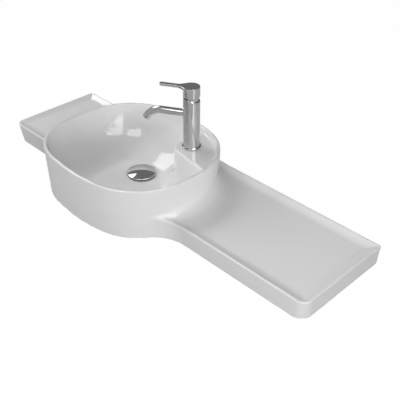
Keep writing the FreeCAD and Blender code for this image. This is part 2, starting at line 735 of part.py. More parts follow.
# Fixing below the ledge: stud, horseshoe washer, plate and nut
finished(rod("fixing_stud", "stud_d", "stud_length", "stud_front", "0", "stud_deep - spigot_drop - stud_length"),
         "fixing_stud", TAP)


def horseshoe(name, low, thick):
    """Round plate, open towards the hoses, with a hole for the stud."""
    disc = rod(name + "_disc", "clamp_d", thick, z=low)
    gap = rod(name + "_gap", "clamp_gap_d", thick, "-inlet_back - stud_d / 2", "0", low)
    mouth = block(name + "_mouth", ("-clamp_d", "-inlet_back - stud_d / 2"), ("-clamp_gap_d / 2", "clamp_gap_d / 2"),
                  (low, f"{low} + {thick}"))
    hole = rod(name + "_hole", "stud_d + 2 * play", thick, "stud_front", "0", low)
    return cut(name, disc, [gap, mouth, hole])


finished(horseshoe("stud_washer", "-deck_thick - clamp_rubber", "clamp_rubber"), "stud_washer", TAP)
PLATE_LOW = "-deck_thick - clamp_rubber - clamp_steel"
finished(horseshoe("stud_plate", PLATE_LOW, "clamp_steel"), "stud_plate", TAP)
STUD_NUT_LOW = PLATE_LOW + " - stud_nut_h"
finished(cut("stud_nut", hexagon("stud_nut_blank", "stud_nut_wide", STUD_NUT_LOW, "stud_nut_h", "stud_front"),
             [rod("stud_nut_bore", "stud_d + 2 * slip", "stud_nut_h", "stud_front", "0", STUD_NUT_LOW)]),
         "stud_nut", TAP)

# Spout: one bent tube, set into the column
BEND = "spout_angle * 1 deg"
BEND_X = f"(spout_reach + spout_bend_r * sin({BEND}))"
BEND_Z = f"(spout_z - spout_bend_r * (1 - cos({BEND})))"
NOSE_X = f"({BEND_X} + spout_nose * cos({BEND}))"
NOSE_Z = f"({BEND_Z} - spout_nose * sin({BEND}))"


def pipe_profile(body, name, diameter):
    """Circle across the spout's root."""
    sketch = sketch_on(body, name, "YZ_Plane")
    sketch.setExpression("AttachmentOffset.Base.z", bound("spout_seat"))
    circle = sketch.addGeometry(Part.Circle(Vector(0, size("spout_z"), 0), UP, size(diameter) / 2), False)
    sketch.addConstraint(Sketcher.Constraint("PointOnObject", circle, 3, -2))
    height = sketch.addConstraint(Sketcher.Constraint("DistanceY", -1, 1, circle, 3, size("spout_z")))
    sketch.setExpression(f"Constraints[{height}]", bound("spout_z"))
    radius = sketch.addConstraint(Sketcher.Constraint("Radius", circle, size(diameter) / 2))
    sketch.setExpression(f"Constraints[{radius}]", bound(f"{diameter} / 2"))
    return sketch


def make_spout():
    """Tube along a straight run, a bend and a short straight end."""
    body = doc.addObject("PartDesign::Body", "spout")
    path = sketch_on(body, "spout_path", "XZ_Plane")
    draw(path, [
        ("spout_seat", "spout_z"),
        ("spout_reach", "spout_z", ("spout_bend_r", RIGHT)),
        (BEND_X, BEND_Z),
        (NOSE_X, NOSE_Z),
    ], closed=False)
    for kind, name, diameter in (("PartDesign::AdditivePipe", "spout_tube", "spout_d"),
                                 ("PartDesign::SubtractivePipe", "spout_bore", "spout_bore_d")):
        profile = pipe_profile(body, name + "_ring", diameter)
        pipe = body.newObject(kind, name)
        pipe.Profile = profile
        pipe.Spine = path
        doc.recompute()
    return body


finished(make_spout(), "spout", TAP)

# Aerator: gasket, shell and screen inside the spout's end, drawn with the flow along +Z
NOSE = TAP.multiply(FreeCAD.Placement(Vector(size(NOSE_X), 0, size(NOSE_Z)),
                                      FreeCAD.Rotation(ACROSS, 90 + size("spout_angle"))))
SHELL_R = "(spout_bore_d / 2 - slip)"
SHELL_LOW = "(-jet_inset - jet_shell_h)"
finished(turned("aerator_shell", [
    (f"{SHELL_R} - jet_wall", SHELL_LOW),
    (SHELL_R, SHELL_LOW),
    (SHELL_R, "-jet_inset"),
    (f"{SHELL_R} - 2 * jet_wall", "-jet_inset"),
    (f"{SHELL_R} - 2 * jet_wall", "-jet_inset - jet_wall"),
    (f"{SHELL_R} - jet_wall", "-jet_inset - jet_wall"),
]), "aerator_shell", NOSE)
SCREEN_TOP = "-jet_inset - jet_wall"


def make_screen():
    """Round frame filled with crossing bars, stepped back into a hollow insert."""
    frame_r = f"({SHELL_R} - jet_wall - slip)"
    frame = ring("screen_frame", f"{frame_r} - jet_wall", frame_r, SHELL_LOW, SCREEN_TOP)
    bars = [frame]
    count = int(size("jet_bars"))
    for index in range(count):
        place = f"((2 * {index + 1} / ({count} + 1) - 1) * {frame_r})"
        reach = f"(sqrt({frame_r}^2 - {place}^2) - jet_wall / 2)"
        across = (f"{place} - jet_bar / 2", f"{place} + jet_bar / 2")
        along = (f"-{reach}", reach)
        depth = (f"{SCREEN_TOP} - jet_mesh_h", SCREEN_TOP)
        bars.append(block(f"screen_bar_x{index}", along, across, depth))
        bars.append(block(f"screen_bar_y{index}", across, along, depth))
    return joined("screen", bars)


finished(make_screen(), "aerator_insert", NOSE)
finished(ring("aerator_seal", f"{SHELL_R} - 2 * jet_wall", SHELL_R, f"{SHELL_LOW} - jet_seal_h", SHELL_LOW),
         "aerator_seal", NOSE)

# Cartridge: from its seat upwards
BASE_LOW = "(seat_z + cart_base_lift)"
BASE_TOP = f"({BASE_LOW} + cart_base_h)"
FIXED_TOP = f"({BASE_TOP} + disc_h)"
MOVING_LOW = f"({FIXED_TOP} + slip)"
CARRIER_LOW = f"({MOVING_LOW} + disc_h)"
CARRIER_TOP = f"({CARRIER_LOW} + carrier_h)"
ROTOR_LOW = f"({CARRIER_TOP} + play)"


def at_ports(name, diameter, low, height):
    """One upright rod at each water port."""
    return [rod(f"{name}_{index}", diameter, height, x, y, low) for index, (x, y) in enumerate(PORTS)]


seal_rods = at_ports("seal_rod", "port_seal_d", "seat_z", "port_seal_h")
seal_bores = at_ports("seal_bore", "port_d", "seat_z", "port_seal_h")
finished(cut("cartridge_seals", joined("seal_blanks", seal_rods), seal_bores), "cartridge_seals", TAP)

base_plate = rod("base_plate", "cart_bore_d - 2 * slip", "cart_base_h", z=BASE_LOW)
base_tools = at_ports("base_port", "port_d", BASE_LOW, "cart_base_h")
base_tools += at_ports("base_recess", "port_seal_d + 2 * slip", BASE_LOW, "port_seal_h - cart_base_lift")
finished(cut("cartridge_base", base_plate, base_tools), "cartridge_base", TAP)

fixed_blank = rod("fixed_blank", "fixed_disc_d", "disc_h", z=BASE_TOP)
finished(cut("fixed_disc", fixed_blank, at_ports("disc_port", "port_d", BASE_TOP, "disc_h")), "fixed_disc", TAP)

DISC_X = "-disc_travel / 2"
moving_blank = rod("moving_blank", "moving_disc_d", "disc_h", DISC_X, "0", MOVING_LOW)
mixing_space = rod("mixing_space", "moving_disc_d - 2 * disc_land", "disc_h / 3", DISC_X, "0", MOVING_LOW)
finished(cut("moving_disc", moving_blank, [mixing_space]), "moving_disc", TAP)
carrier_blank = rod("carrier_blank", "moving_disc_d", "carrier_h", DISC_X, "0", CARRIER_LOW)
carrier_hole = rod("carrier_hole", "carrier_hole_d", "carrier_h", "0", "0", CARRIER_LOW)
finished(cut("disc_carrier", carrier_blank, [carrier_hole]), "disc_carrier", TAP)

finished(turned("cartridge_housing", [
    ("housing_bore_d / 2", BASE_TOP),
    ("cart_bore_d / 2 - slip", BASE_TOP),
    ("cart_bore_d / 2 - slip", "step_z"),
    ("housing_flange_d / 2", "step_z"),
    ("housing_flange_d / 2", "step_z + housing_flange_h"),
    ("housing_neck_d / 2", "step_z + housing_flange_h"),
    ("housing_neck_d / 2", "housing_top"),
    ("housing_bore_d / 2", "housing_top"),
]), "cartridge_housing", TAP)

NUT_LOW = "(step_z + housing_flange_h)"
NUT_TOP = f"({NUT_LOW} + nut_h)"
finished(ring("cartridge_nut", "housing_neck_d / 2 + slip", "nut_bore_d / 2 - slip", NUT_LOW, NUT_TOP),
         "cartridge_nut", TAP)

ROTOR_D = "(housing_bore_d - 2 * slip)"
SLOT = ("-spindle_thick / 2 - play", ROTOR_D)
SLOT_WIDE = ("-spindle_wide / 2 - play", "spindle_wide / 2 + play")
rotor_blank = rod("rotor_blank", ROTOR_D, f"rotor_top - {ROTOR_LOW}", z=ROTOR_LOW)
rotor_tools = [
    block("rotor_slot", SLOT, SLOT_WIDE, (ROTOR_LOW, "rotor_top")),
    block("rotor_back", ("-spindle_thick - play", "0"), SLOT_WIDE, ("pivot_z - pin_d / 2", "rotor_top")),
    rod("rotor_pin_hole", "pin_d", "housing_bore_d", "0", "-housing_bore_d / 2", "pivot_z", CROSSWISE),
]
finished(cut("cartridge_rotor", rotor_blank, rotor_tools), "cartridge_rotor", TAP)
finished(rod("spindle_pin", "pin_d", "pin_length", "0", "-pin_length / 2", "pivot_z", CROSSWISE), "spindle_pin",
         TAP)

# Spindle: flat bar through the handle's boss, finger and ball in the disc's carrier
FINGER_TOP = "(pivot_z - spindle_wide)"
BALL_Z = f"({CARRIER_LOW} + ball_d / 2 + play)"
ball = doc.addObject("Part::Sphere", "spindle_ball")
ball.setExpression("Radius", bound("ball_d / 2"))
spot(ball, "0", "0", BALL_Z)
HALF_THICK = ("-spindle_thick / 2", "spindle_thick / 2")
HALF_WIDE = ("-spindle_wide / 2", "spindle_wide / 2")
bar = block("spindle_bar", HALF_THICK, HALF_WIDE, (FINGER_TOP, "spindle_top"))
finger = rod("spindle_finger", "finger_d", f"{FINGER_TOP} - {BALL_Z}", z=BALL_Z)
eye = rod("spindle_eye", "pin_d + 2 * slip", "2 * spindle_wide", "0", "-spindle_wide", "pivot_z", CROSSWISE)
finished(cut("cartridge_spindle", joined("spindle_blank", [bar, finger, ball]), [eye]), "cartridge_spindle", TAP)

# Trim dome: a ball-shaped cover centred on the tilt axis, so that the handle turns clear of it at every tilt
DOME_IN = "(dome_r - dome_wall)"
MOUTH = "(dome_mouth_d / 2)"
finished(turned("trim_dome", [
    (DOME_IN, NUT_TOP),
    ("dome_r", NUT_TOP),
    ("dome_r", "pivot_z", ("dome_r", LEFT)),
    (MOUTH, f"pivot_z + sqrt(dome_r^2 - {MOUTH}^2)"),
    (MOUTH, f"pivot_z + sqrt({DOME_IN}^2 - {MOUTH}^2)", (DOME_IN, RIGHT)),
    (DOME_IN, "pivot_z"),
]), "trim_dome", TAP)

# Handle: turned cap with a boss for the spindle, and the lever drawn in plan with its flare
FLARE_X = "sqrt((cap_d / 2 + lever_flare)^2 - (lever_wide / 2 + lever_flare)^2)"
ON_CAP = "(cap_d / 2 / (cap_d / 2 + lever_flare))"


def make_handle():
    """Cap, boss and lever in one, with the spindle's socket and the grub screw's holes."""
    body = turned("handle_blank", [
        ("0", "boss_low"),
        ("boss_d / 2", "boss_low"),
        ("boss_d / 2", "cap_ceiling"),
        ("cap_d / 2 - cap_wall", "cap_ceiling"),
        ("cap_d / 2 - cap_wall", "cap_low"),
        ("cap_d / 2", "cap_low"),
        ("cap_d / 2", "cap_high - cap_edge", ("cap_edge", LEFT)),
        ("cap_d / 2 - cap_edge", "cap_high"),
        ("0", "cap_high"),
    ])
    plan = sketch_on(body, "lever_plan", "XY_Plane")
    plan.setExpression("AttachmentOffset.Base.z", bound("cap_high - lever_thick"))
    half = "lever_wide / 2"
    tip = "lever_reach - lever_wide / 2"
    draw(plan, [
        (f"{ON_CAP} * {FLARE_X}", f"-{ON_CAP} * ({half} + lever_flare)", ("lever_flare", RIGHT)),
        (FLARE_X, f"-{half}"),
        (tip, f"-{half}", (half, LEFT)),
        ("lever_reach", "0", (half, LEFT)),
        (tip, half),
        (FLARE_X, half, ("lever_flare", RIGHT)),
        (f"{ON_CAP} * {FLARE_X}", f"{ON_CAP} * ({half} + lever_flare)"),
    ])
    lever = body.newObject("PartDesign::Pad", "lever_pad")
    lever.Profile = plan
    lever.setExpression("Length", bound("lever_thick"))
    tools = [
        block("handle_socket", ("-spindle_thick / 2 - slip", "spindle_thick / 2 + slip"),
              ("-spindle_wide / 2 - slip", "spindle_wide / 2 + slip"), ("boss_low", "spindle_top + slip")),
        rod("screw_hole", "screw_d + 2 * slip", "boss_d", "0", "0", "screw_z", LYING),
        rod("screw_reach", "screw_reach_d", "cap_d / 2", "boss_d / 2", "0", "screw_z", LYING),
    ]
    return cut("handle_cut", body, tools)


finished(make_handle(), "handle", TAP)
finished(rod("handle_screw", "screw_d", "screw_length", "spindle_thick / 2", "0", "screw_z", LYING), "handle_screw",
         TAP)

# Waste: flanged tube through the floor, gasketed both sides and held by a nut
SEAT = "(-drain_recess)"
FLANGE_LOW = f"({SEAT} + flange_seal)"
FLANGE_TOP = f"({FLANGE_LOW} + flange_h)"
UNDER = "(-wall)"
WASTE_NUT_LOW = f"({UNDER} - under_seal_h - waste_nut_h)"
finished(ring("waste_seal_top", "tail_d / 2 + slip", "flange_d / 2", SEAT, FLANGE_LOW), "waste_seal_top", WASTE)
tube = turned("waste_tube", [
    ("tail_bore_d / 2", "-tail_end"),
    ("tail_d / 2", "-tail_end"),
    ("tail_d / 2", f"{WASTE_NUT_LOW} - tail_relief"),
    ("tail_d / 2 - tail_relief / 2", f"{WASTE_NUT_LOW} - tail_relief"),
    ("tail_d / 2 - tail_relief / 2", WASTE_NUT_LOW),
    ("tail_d / 2", WASTE_NUT_LOW),
    ("tail_d / 2", FLANGE_LOW),
    ("flange_d / 2", FLANGE_LOW),
    ("flange_d / 2", f"{FLANGE_TOP} - flange_h / 2"),
    ("flange_d / 2 - flange_h / 2", FLANGE_TOP),
    ("tail_d / 2", FLANGE_TOP),
    ("tail_bore_d / 2", f"{FLANGE_LOW}"),
])
WEB_LOW = "(-web_z - web_h)"
web = [tube, rod("web_boss", "web_boss_d", "web_h", z=WEB_LOW)]
ACROSS_BORE = ("-tail_bore_d / 2 - (tail_d - tail_bore_d) / 4", "tail_bore_d / 2 + (tail_d - tail_bore_d) / 4")
ARM = ("-web_thick / 2", "web_thick / 2")
web.append(block("web_arm_x", ACROSS_BORE, ARM, (WEB_LOW, "-web_z")))
web.append(block("web_arm_y", ARM, ACROSS_BORE, (WEB_LOW, "-web_z")))
web_hole = rod("web_hole", "barrel_d + 2 * slip", "web_h", z=WEB_LOW)
finished(cut("waste_cut", joined("waste_solid", web), [web_hole]), "waste_body", WASTE)

finished(ring("waste_seal_bottom", "tail_d / 2 + slip", "under_seal_d / 2", f"{UNDER} - under_seal_h", UNDER),
         "waste_seal_bottom", WASTE)
finished(cut("waste_nut", hexagon("waste_nut_blank", "waste_nut_wide", WASTE_NUT_LOW, "waste_nut_h"),
             [rod("waste_nut_bore", "tail_d + 2 * slip", "waste_nut_h", z=WASTE_NUT_LOW)]), "waste_nut", WASTE)

# Click mechanism: barrel in the web, spring below the stem's collar
WIRE_SIDES = 6
finished(turned("click_barrel", [
    ("0", "-barrel_end"),
    ("barrel_d / 2", "-barrel_end"),
    ("barrel_d / 2", "-barrel_top"),
    ("stem_d / 2 + slip", "-barrel_top"),
    ("stem_d / 2 + slip", "-barrel_top - barrel_lid"),
    ("barrel_bore_d / 2", "-barrel_top - barrel_lid"),
    ("barrel_bore_d / 2", "-barrel_end + barrel_lid"),
    ("0", "-barrel_end + barrel_lid"),
]), "click_barrel", WASTE)


def make_spring():
    """Open coil from the barrel's end wall to the stem's collar, as a ruled skin through six-sided sections."""
    wire = size("spring_wire_d / 2")
    coil = size("spring_d / 2")
    low = size("-barrel_end + barrel_lid + slip") + wire
    high = size("-stem_collar_z - stem_collar_h - play") - wire
    steps = int(size("spring_turns * spring_steps"))
    sections = []
    for step in range(steps + 1):
        turn = 2 * math.pi * step / size("spring_steps")
        outward = Vector(math.cos(turn), math.sin(turn), 0)
        centre = outward * coil + UP * (low + (high - low) * step / steps)
        corners = []
        for side in range(WIRE_SIDES + 1):
            around = 2 * math.pi * side / WIRE_SIDES
            corners.append(centre + (outward * math.cos(around) + UP * math.sin(around)) * wire)
        sections.append(Part.makePolygon(corners))
    return ruled(sections)


spring = doc.addObject("Part::Feature", "click_spring")
spring.Shape = make_spring()
finished(spring, "click_spring", WASTE)

# Lid: stem, domed cap and rubber ring
LID_TOP = "(lid_low + lid_edge + lid_rise)"
CROWN_R = "(((lid_d / 2)^2 + lid_rise^2) / (2 * lid_rise))"
STEM_TOP = "(lid_low + lid_edge)"
finished(turned("plug_stem", [
    ("0", "-stem_end"),
    ("stem_d / 2", "-stem_end"),
    ("stem_d / 2", "-stem_collar_z - stem_collar_h"),
    ("stem_collar_d / 2", "-stem_collar_z - stem_collar_h"),
    ("stem_collar_d / 2", "-stem_collar_z"),
    ("stem_d / 2", "-stem_collar_z"),
    ("stem_d / 2", STEM_TOP),
    ("0", STEM_TOP),
]), "plug_stem", WASTE)
INNER_R = f"({CROWN_R} - lid_wall)"
CROWN_Z = f"({LID_TOP} - {CROWN_R})"
INSIDE = "(lid_d / 2 - lid_wall)"
finished(turned("plug_cap", [
    ("stem_d / 2", "lid_low"),
    ("lid_boss_d / 2", "lid_low"),
    ("lid_boss_d / 2", f"{CROWN_Z} + sqrt({INNER_R}^2 - (lid_boss_d / 2)^2)", (INNER_R, RIGHT)),
    (INSIDE, f"{CROWN_Z} + sqrt({INNER_R}^2 - {INSIDE}^2)"),
    (INSIDE, "lid_low"),
    ("lid_d / 2", "lid_low"),
    ("lid_d / 2", STEM_TOP, (CROWN_R, LEFT)),
    ("0", LID_TOP),
    ("0", STEM_TOP),
    ("stem_d / 2", STEM_TOP),
]), "plug_cap", WASTE)
SEAL_TOP = f"({CROWN_Z} + sqrt({INNER_R}^2 - (lid_seal_d / 2)^2) - slip)"
finished(ring("plug_seal", "lid_seal_d / 2 - lid_seal_wide", "lid_seal_d / 2", f"{FLANGE_TOP} + play", SEAL_TOP),
         "plug_seal", WASTE)

# Check everything, then write one file for each sub-part
doc.recompute()
for item in doc.Objects:
    if "Invalid" in item.State or "Error" in item.State:
        raise RuntimeError(f"{item.Label} did not build: {item.State}")
os.makedirs("parts", exist_ok=True)
for piece in pieces:
    shape = piece.Shape
    if shape.isNull() or not shape.isValid():
        raise RuntimeError(f"{piece.Label} has no valid shape")
    shape.exportStep(f"parts/{piece.Label}.step")
    print(f"{piece.Label}: {len(shape.Solids)} solid, {shape.Volume:.1f} mm3")
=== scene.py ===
# %% [markdown]
# # A wall-hung washbasin with a lever tap
#
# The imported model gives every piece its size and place. This lesson dresses it: the ceramic casting and the chromed
# pieces that show are carved again as smooth meshes with soft edges, and every other piece gets its finish from
# nodes. All lengths are metres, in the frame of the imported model: +X along the wall, +Y into it, +Z up.

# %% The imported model
import json
import math
import time

import bpy
import numpy as np
from mathutils import Matrix, Vector


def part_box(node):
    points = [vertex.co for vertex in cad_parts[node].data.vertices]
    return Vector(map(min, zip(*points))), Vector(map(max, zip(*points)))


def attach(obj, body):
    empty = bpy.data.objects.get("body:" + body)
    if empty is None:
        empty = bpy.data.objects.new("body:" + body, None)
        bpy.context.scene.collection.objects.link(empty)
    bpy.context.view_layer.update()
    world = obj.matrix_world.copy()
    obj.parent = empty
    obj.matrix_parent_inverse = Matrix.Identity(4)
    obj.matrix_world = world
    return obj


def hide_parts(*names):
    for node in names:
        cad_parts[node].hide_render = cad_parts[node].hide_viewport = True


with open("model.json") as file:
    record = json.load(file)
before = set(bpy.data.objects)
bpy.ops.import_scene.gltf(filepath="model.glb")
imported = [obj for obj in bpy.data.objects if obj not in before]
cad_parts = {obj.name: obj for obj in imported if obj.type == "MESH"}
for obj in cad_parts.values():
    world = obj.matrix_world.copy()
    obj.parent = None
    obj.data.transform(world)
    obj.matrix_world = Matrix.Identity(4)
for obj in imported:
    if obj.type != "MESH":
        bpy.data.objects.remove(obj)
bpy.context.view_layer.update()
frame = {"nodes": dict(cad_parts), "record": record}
scene = bpy.context.scene
scene.view_settings.view_transform = "Standard"

# %% [markdown]
# ## Camera
#
# The picture to match was taken from high up on the right, with a long lens. Three straight edges that run along X,
# Y and Z are enough to solve a camera, and that solution is written here as a place, two angles and a small roll.

# %% Camera
CAMERA_PLACE = Vector((1.1144, -1.0710, 0.9476))
CAMERA_AZIMUTH = math.radians(45.0)
CAMERA_ELEVATION = math.radians(35.26)
CAMERA_ROLL = math.radians(0.54)
CAMERA_LENS = 61.74


def make_camera():
    """Camera at its place, turned by azimuth, elevation and roll."""
    side, up_part = math.cos(CAMERA_AZIMUTH), math.sin(CAMERA_AZIMUTH)
    back = Vector((up_part * math.cos(CAMERA_ELEVATION), -side * math.cos(CAMERA_ELEVATION),
                   math.sin(CAMERA_ELEVATION)))
    level_right = Vector((side, up_part, 0))
    level_up = back.cross(level_right)
    right = level_right * math.cos(CAMERA_ROLL) + level_up * math.sin(CAMERA_ROLL)
    up = level_up * math.cos(CAMERA_ROLL) - level_right * math.sin(CAMERA_ROLL)
    camera = bpy.data.objects.new("camera", bpy.data.cameras.new("camera"))
    camera.data.lens = CAMERA_LENS
    camera.matrix_world = Matrix.Translation(CAMERA_PLACE) @ Matrix((right, up, back)).transposed().to_4x4()
    scene.collection.objects.link(camera)
    scene.camera = camera


make_camera()
print("camera lens", CAMERA_LENS, "mm")

# %% [markdown]
# ## Carving a mesh from a distance function
#
# Ceramic is cast and glazed, so no edge on it is sharp and most faces flow into each other. Extrusions and bevels
# struggle there. A distance function does not: it says for any point how far the surface is, negative inside, and two
# shapes join or cut each other with a rounded edge by one line of arithmetic. The mesh then comes from a grid of cells.
# Only cells near the surface are kept, each cell that the surface crosses gets one vertex, and the vertices slide
# along the gradient until they lie on the surface. The gradient is also the exact normal for smooth shading.

# %% Rounded joins and cuts
def common(a, b, radius):
    """Where both shapes are, with the outer edge rounded."""
    corner = np.hypot(np.maximum(a + radius, 0), np.maximum(b + radius, 0))
    return np.minimum(-radius, np.maximum(a, b)) + corner


def merged(a, b, radius):
    """Where either shape is, with the inner edge filled to a radius."""
    corner = np.hypot(np.maximum(radius - a, 0), np.maximum(radius - b, 0))
    return np.maximum(radius, np.minimum(a, b)) - corner


def without(a, b, radius):
    """The first shape without the second, with the edge rounded."""
    return common(a, -b, radius)


def smooth(share):
    """Eased step from 0 to 1."""
    share = np.clip(share, 0, 1)
    return share * share * (3 - 2 * share)


print("rounded cut of two faces 1 mm deep:", float(common(-0.001, -0.001, 0.002)))

# %% Cells at the surface
CUBE = np.array([(i, j, k) for i in (0, 1) for j in (0, 1) for k in (0, 1)])
CUBE_EDGES = [(a, b) for a in range(8) for b in range(a + 1, 8) if np.abs(CUBE[a] - CUBE[b]).sum() == 1]
COARSE_STEPS = 3
NEAR = 1.4


def cells_near(distance, low, high, cell):
    """Whole-number places of the cells that lie near the surface, found from coarse to fine."""
    step = cell * 2 ** COARSE_STEPS
    counts = np.ceil((high - low) / step).astype(int)
    cells = np.stack(np.meshgrid(*[np.arange(n) for n in counts], indexing="ij"), -1).reshape(-1, 3)
    for finer in range(COARSE_STEPS + 1):
        if finer:
            step /= 2
            cells = (cells[:, None] * 2 + CUBE).reshape(-1, 3)
        middle = low + (cells + 0.5) * step
        cells = cells[np.abs(distance(*middle.T)) < step * NEAR]
    return cells


def cells_crossed(distance, low, cell, cells, span, strides):
    """Of these cells, those that the surface crosses, with the distance at their eight corners."""
    keys, where = np.unique((cells[:, None] + CUBE) @ strides, return_inverse=True)
    places = np.stack(np.unravel_index(keys, span), -1)
    depth = distance(*(low + places * cell).T)[where.reshape(-1, 8)]
    crossed = (depth < 0).any(1) & (depth >= 0).any(1)
    return cells[crossed], depth[crossed]


print("a cell has", len(CUBE), "corners and", len(CUBE_EDGES), "edges")

# %% Vertices on the surface
SLIDES = 4
SLOPE_STEP, LEAST_STEEP, TINY = 0.05, 0.1, 1e-9


def first_places(cells, depth):
    """One place in each cell: the mean of where the surface cuts the cell's edges."""
    total = np.zeros((len(cells), 3))
    count = np.zeros((len(cells), 1))
    for a, b in CUBE_EDGES:
        cut = (depth[:, a] < 0) != (depth[:, b] < 0)
        share = depth[cut, a] / (depth[cut, a] - depth[cut, b])
        total[cut] += CUBE[a] + share[:, None] * (CUBE[b] - CUBE[a])
        count[cut] += 1
    return cells + total / count


def slope_at(distance, points, reach):
    """Distance and gradient at points, by small steps along each axis."""
    here = distance(*points.T)
    rise = [distance(*(points + offset).T) - here for offset in np.eye(3) * reach]
    return here, np.stack(rise, -1) / reach


def settled(distance, points, cell):
    """Points slid along the gradient on to the surface, with their normals."""
    for _ in range(SLIDES):
        gap, slope = slope_at(distance, points, cell * SLOPE_STEP)
        steep = np.maximum((slope ** 2).sum(1), LEAST_STEEP)
        points = points - np.clip(slope * (gap / steep)[:, None], -cell, cell)
    normals = slope_at(distance, points, cell * SLOPE_STEP)[1]
    return points, normals / np.maximum(np.linalg.norm(normals, axis=1, keepdims=True), TINY)


print("vertices slide", SLIDES, "times")

# %% Faces, and the whole carving
MARGIN = 2
AXES = np.eye(3, dtype=int)


def quads_between(cells, depth, strides):
    """One face for each grid edge that the surface cuts, between the four cells round that edge."""
    order = np.argsort(cells @ strides)
    sorted_keys = (cells @ strides)[order]
    quads = []
    for axis in range(3):
        one, two = AXES[(axis + 1) % 3], AXES[(axis + 2) % 3]
        far = int(np.flatnonzero((CUBE == AXES[axis]).all(1))[0])
        edge = np.flatnonzero((depth[:, 0] < 0) != (depth[:, far] < 0))
        ring = [cells[edge] - offset for offset in (0 * one, one, one + two, two)]
        quad = np.stack([order[np.searchsorted(sorted_keys, around @ strides)] for around in ring], -1)
        inward = depth[edge, 0] >= 0
        quad[inward] = quad[inward][:, ::-1]
        quads.append(quad)
    return np.concatenate(quads)


def mesh_object(name, points, normals, quads):
    """Object with these vertices, vertex normals and four-sided faces."""
    mesh = bpy.data.meshes.new(name)
    mesh.vertices.add(len(points))
    mesh.vertices.foreach_set("co", points.astype(np.float32).ravel())
    mesh.loops.add(quads.size)
    mesh.loops.foreach_set("vertex_index", quads.astype(np.int32).ravel())
    mesh.polygons.add(len(quads))
    mesh.polygons.foreach_set("loop_start", np.arange(0, quads.size, 4, dtype=np.int32))
    mesh.update(calc_edges=True)
    mesh.shade_smooth()
    mesh.normals_split_custom_set_from_vertices(normals.tolist())
    piece = bpy.data.objects.new(name, mesh)
    scene.collection.objects.link(piece)
    return piece


def carve(name, distance, low, high, cell, place=Matrix()):
    """Object whose surface is where the distance is zero, drawn in a frame of its own and carried to its place."""
    began = time.time()
    low, high = np.array(low) - MARGIN * cell, np.array(high) + MARGIN * cell
    cells = cells_near(distance, low, high, cell)
    span = cells.max(0) + 3
    strides = np.array((span[1] * span[2], span[2], 1))
    cells, depth = cells_crossed(distance, low, cell, cells, span, strides)
    points, normals = settled(distance, low + first_places(cells, depth) * cell, cell)
    turn = np.array(place.to_3x3())
    points = points @ turn.T + np.array(place.translation)
    quads = quads_between(cells, depth, strides)
    print(f"{name}: {len(points)} vertices, {len(quads)} faces, {time.time() - began:.1f} s")
    return mesh_object(name, points, normals @ turn.T, quads)


# %% [markdown]
# ## The casting in plan
#
# From above, the bowl is an oval of eight arcs, and the shelves are one long rectangle behind it. Where the bowl
# stands out in front of the shelves, an arc leads its wall into their front edge. The oval is a little squarer at its
# front left, so it swells there over a range of angles. A drawn outline could be extruded, but a curve written as a
# distance in plan can later be moved in or out by adding a number to it.

# %% The oval
SHELF_LEFT, SHELF_RIGHT, SHELF_DEPTH = 0.412, 0.588, 0.260
BOWL_WIDTH, BOWL_DEPTH = 0.416, 0.368
FRONT_ARC, SIDE_ARC, CORNER_IN = 0.400, 0.350, 0.029
CORNER_ARC = BOWL_DEPTH / 2 - CORNER_IN
SWELL, SWELL_FROM, SWELL_FULL, SWELL_TO = 0.0088, 196, 216, 262
FRONT_MIDDLE = BOWL_DEPTH / 2 - FRONT_ARC
SIDE_MIDDLE = BOWL_WIDTH / 2 - SIDE_ARC


def corner_middle():
    """Middle of the oval's corner arc, which touches the front arc and the side arc from inside."""
    apart = math.hypot(SIDE_MIDDLE, FRONT_MIDDLE)
    to_front, to_side = FRONT_ARC - CORNER_ARC, SIDE_ARC - CORNER_ARC
    along = (apart ** 2 + to_front ** 2 - to_side ** 2) / (2 * apart)
    aside = math.sqrt(to_front ** 2 - along ** 2)
    way = Vector((SIDE_MIDDLE, -FRONT_MIDDLE)) / apart
    return Vector((0, FRONT_MIDDLE)) + way * along + Vector((way.y, -way.x)) * aside


CORNER_MIDDLE = corner_middle()
FLAT = math.atan2(CORNER_MIDDLE.y, CORNER_MIDDLE.x - SIDE_MIDDLE)
STEEP = math.atan2(CORNER_MIDDLE.y - FRONT_MIDDLE, CORNER_MIDDLE.x)


def arcs(x, y):
    """Distance in plan from the oval of eight arcs."""
    u, v = np.abs(x), np.abs(y + BOWL_DEPTH / 2)
    side = np.hypot(u - SIDE_MIDDLE, v) - SIDE_ARC
    front = np.hypot(u, v - FRONT_MIDDLE) - FRONT_ARC
    corner = np.hypot(u - CORNER_MIDDLE.x, v - CORNER_MIDDLE.y) - CORNER_ARC
    at_side = (u - SIDE_MIDDLE) * math.sin(FLAT) > v * math.cos(FLAT)
    at_front = (v - FRONT_MIDDLE) * math.cos(STEEP) > u * math.sin(STEEP)
    single = np.where(at_side, side, np.where(at_front, front, corner))
    return np.where(at_side & at_front, np.maximum(side, front), single)


def swell(x, y):
    """How far the oval swells out at its front left corner."""
    turn = np.degrees(np.arctan2(y + BOWL_DEPTH / 2, x)) % 360
    rising = smooth((turn - SWELL_FROM) / (SWELL_FULL - SWELL_FROM))
    falling = smooth((SWELL_TO - turn) / (SWELL_TO - SWELL_FULL))
    return SWELL * rising * falling


def oval(x, y):
    """Distance in plan from the rim's outer edge."""
    return arcs(x, y) - swell(x, y)


print("oval corner at", [round(value, 4) for value in CORNER_MIDDLE], "from the bowl's middle")

# %% The shelves and the whole outline
FRONT_CORNER, CORNER_GROWTH, CORNER_MOST = 0.021, 3, 0.012
PAST_WALL = 4 * FRONT_CORNER
SWEEP = 0.092


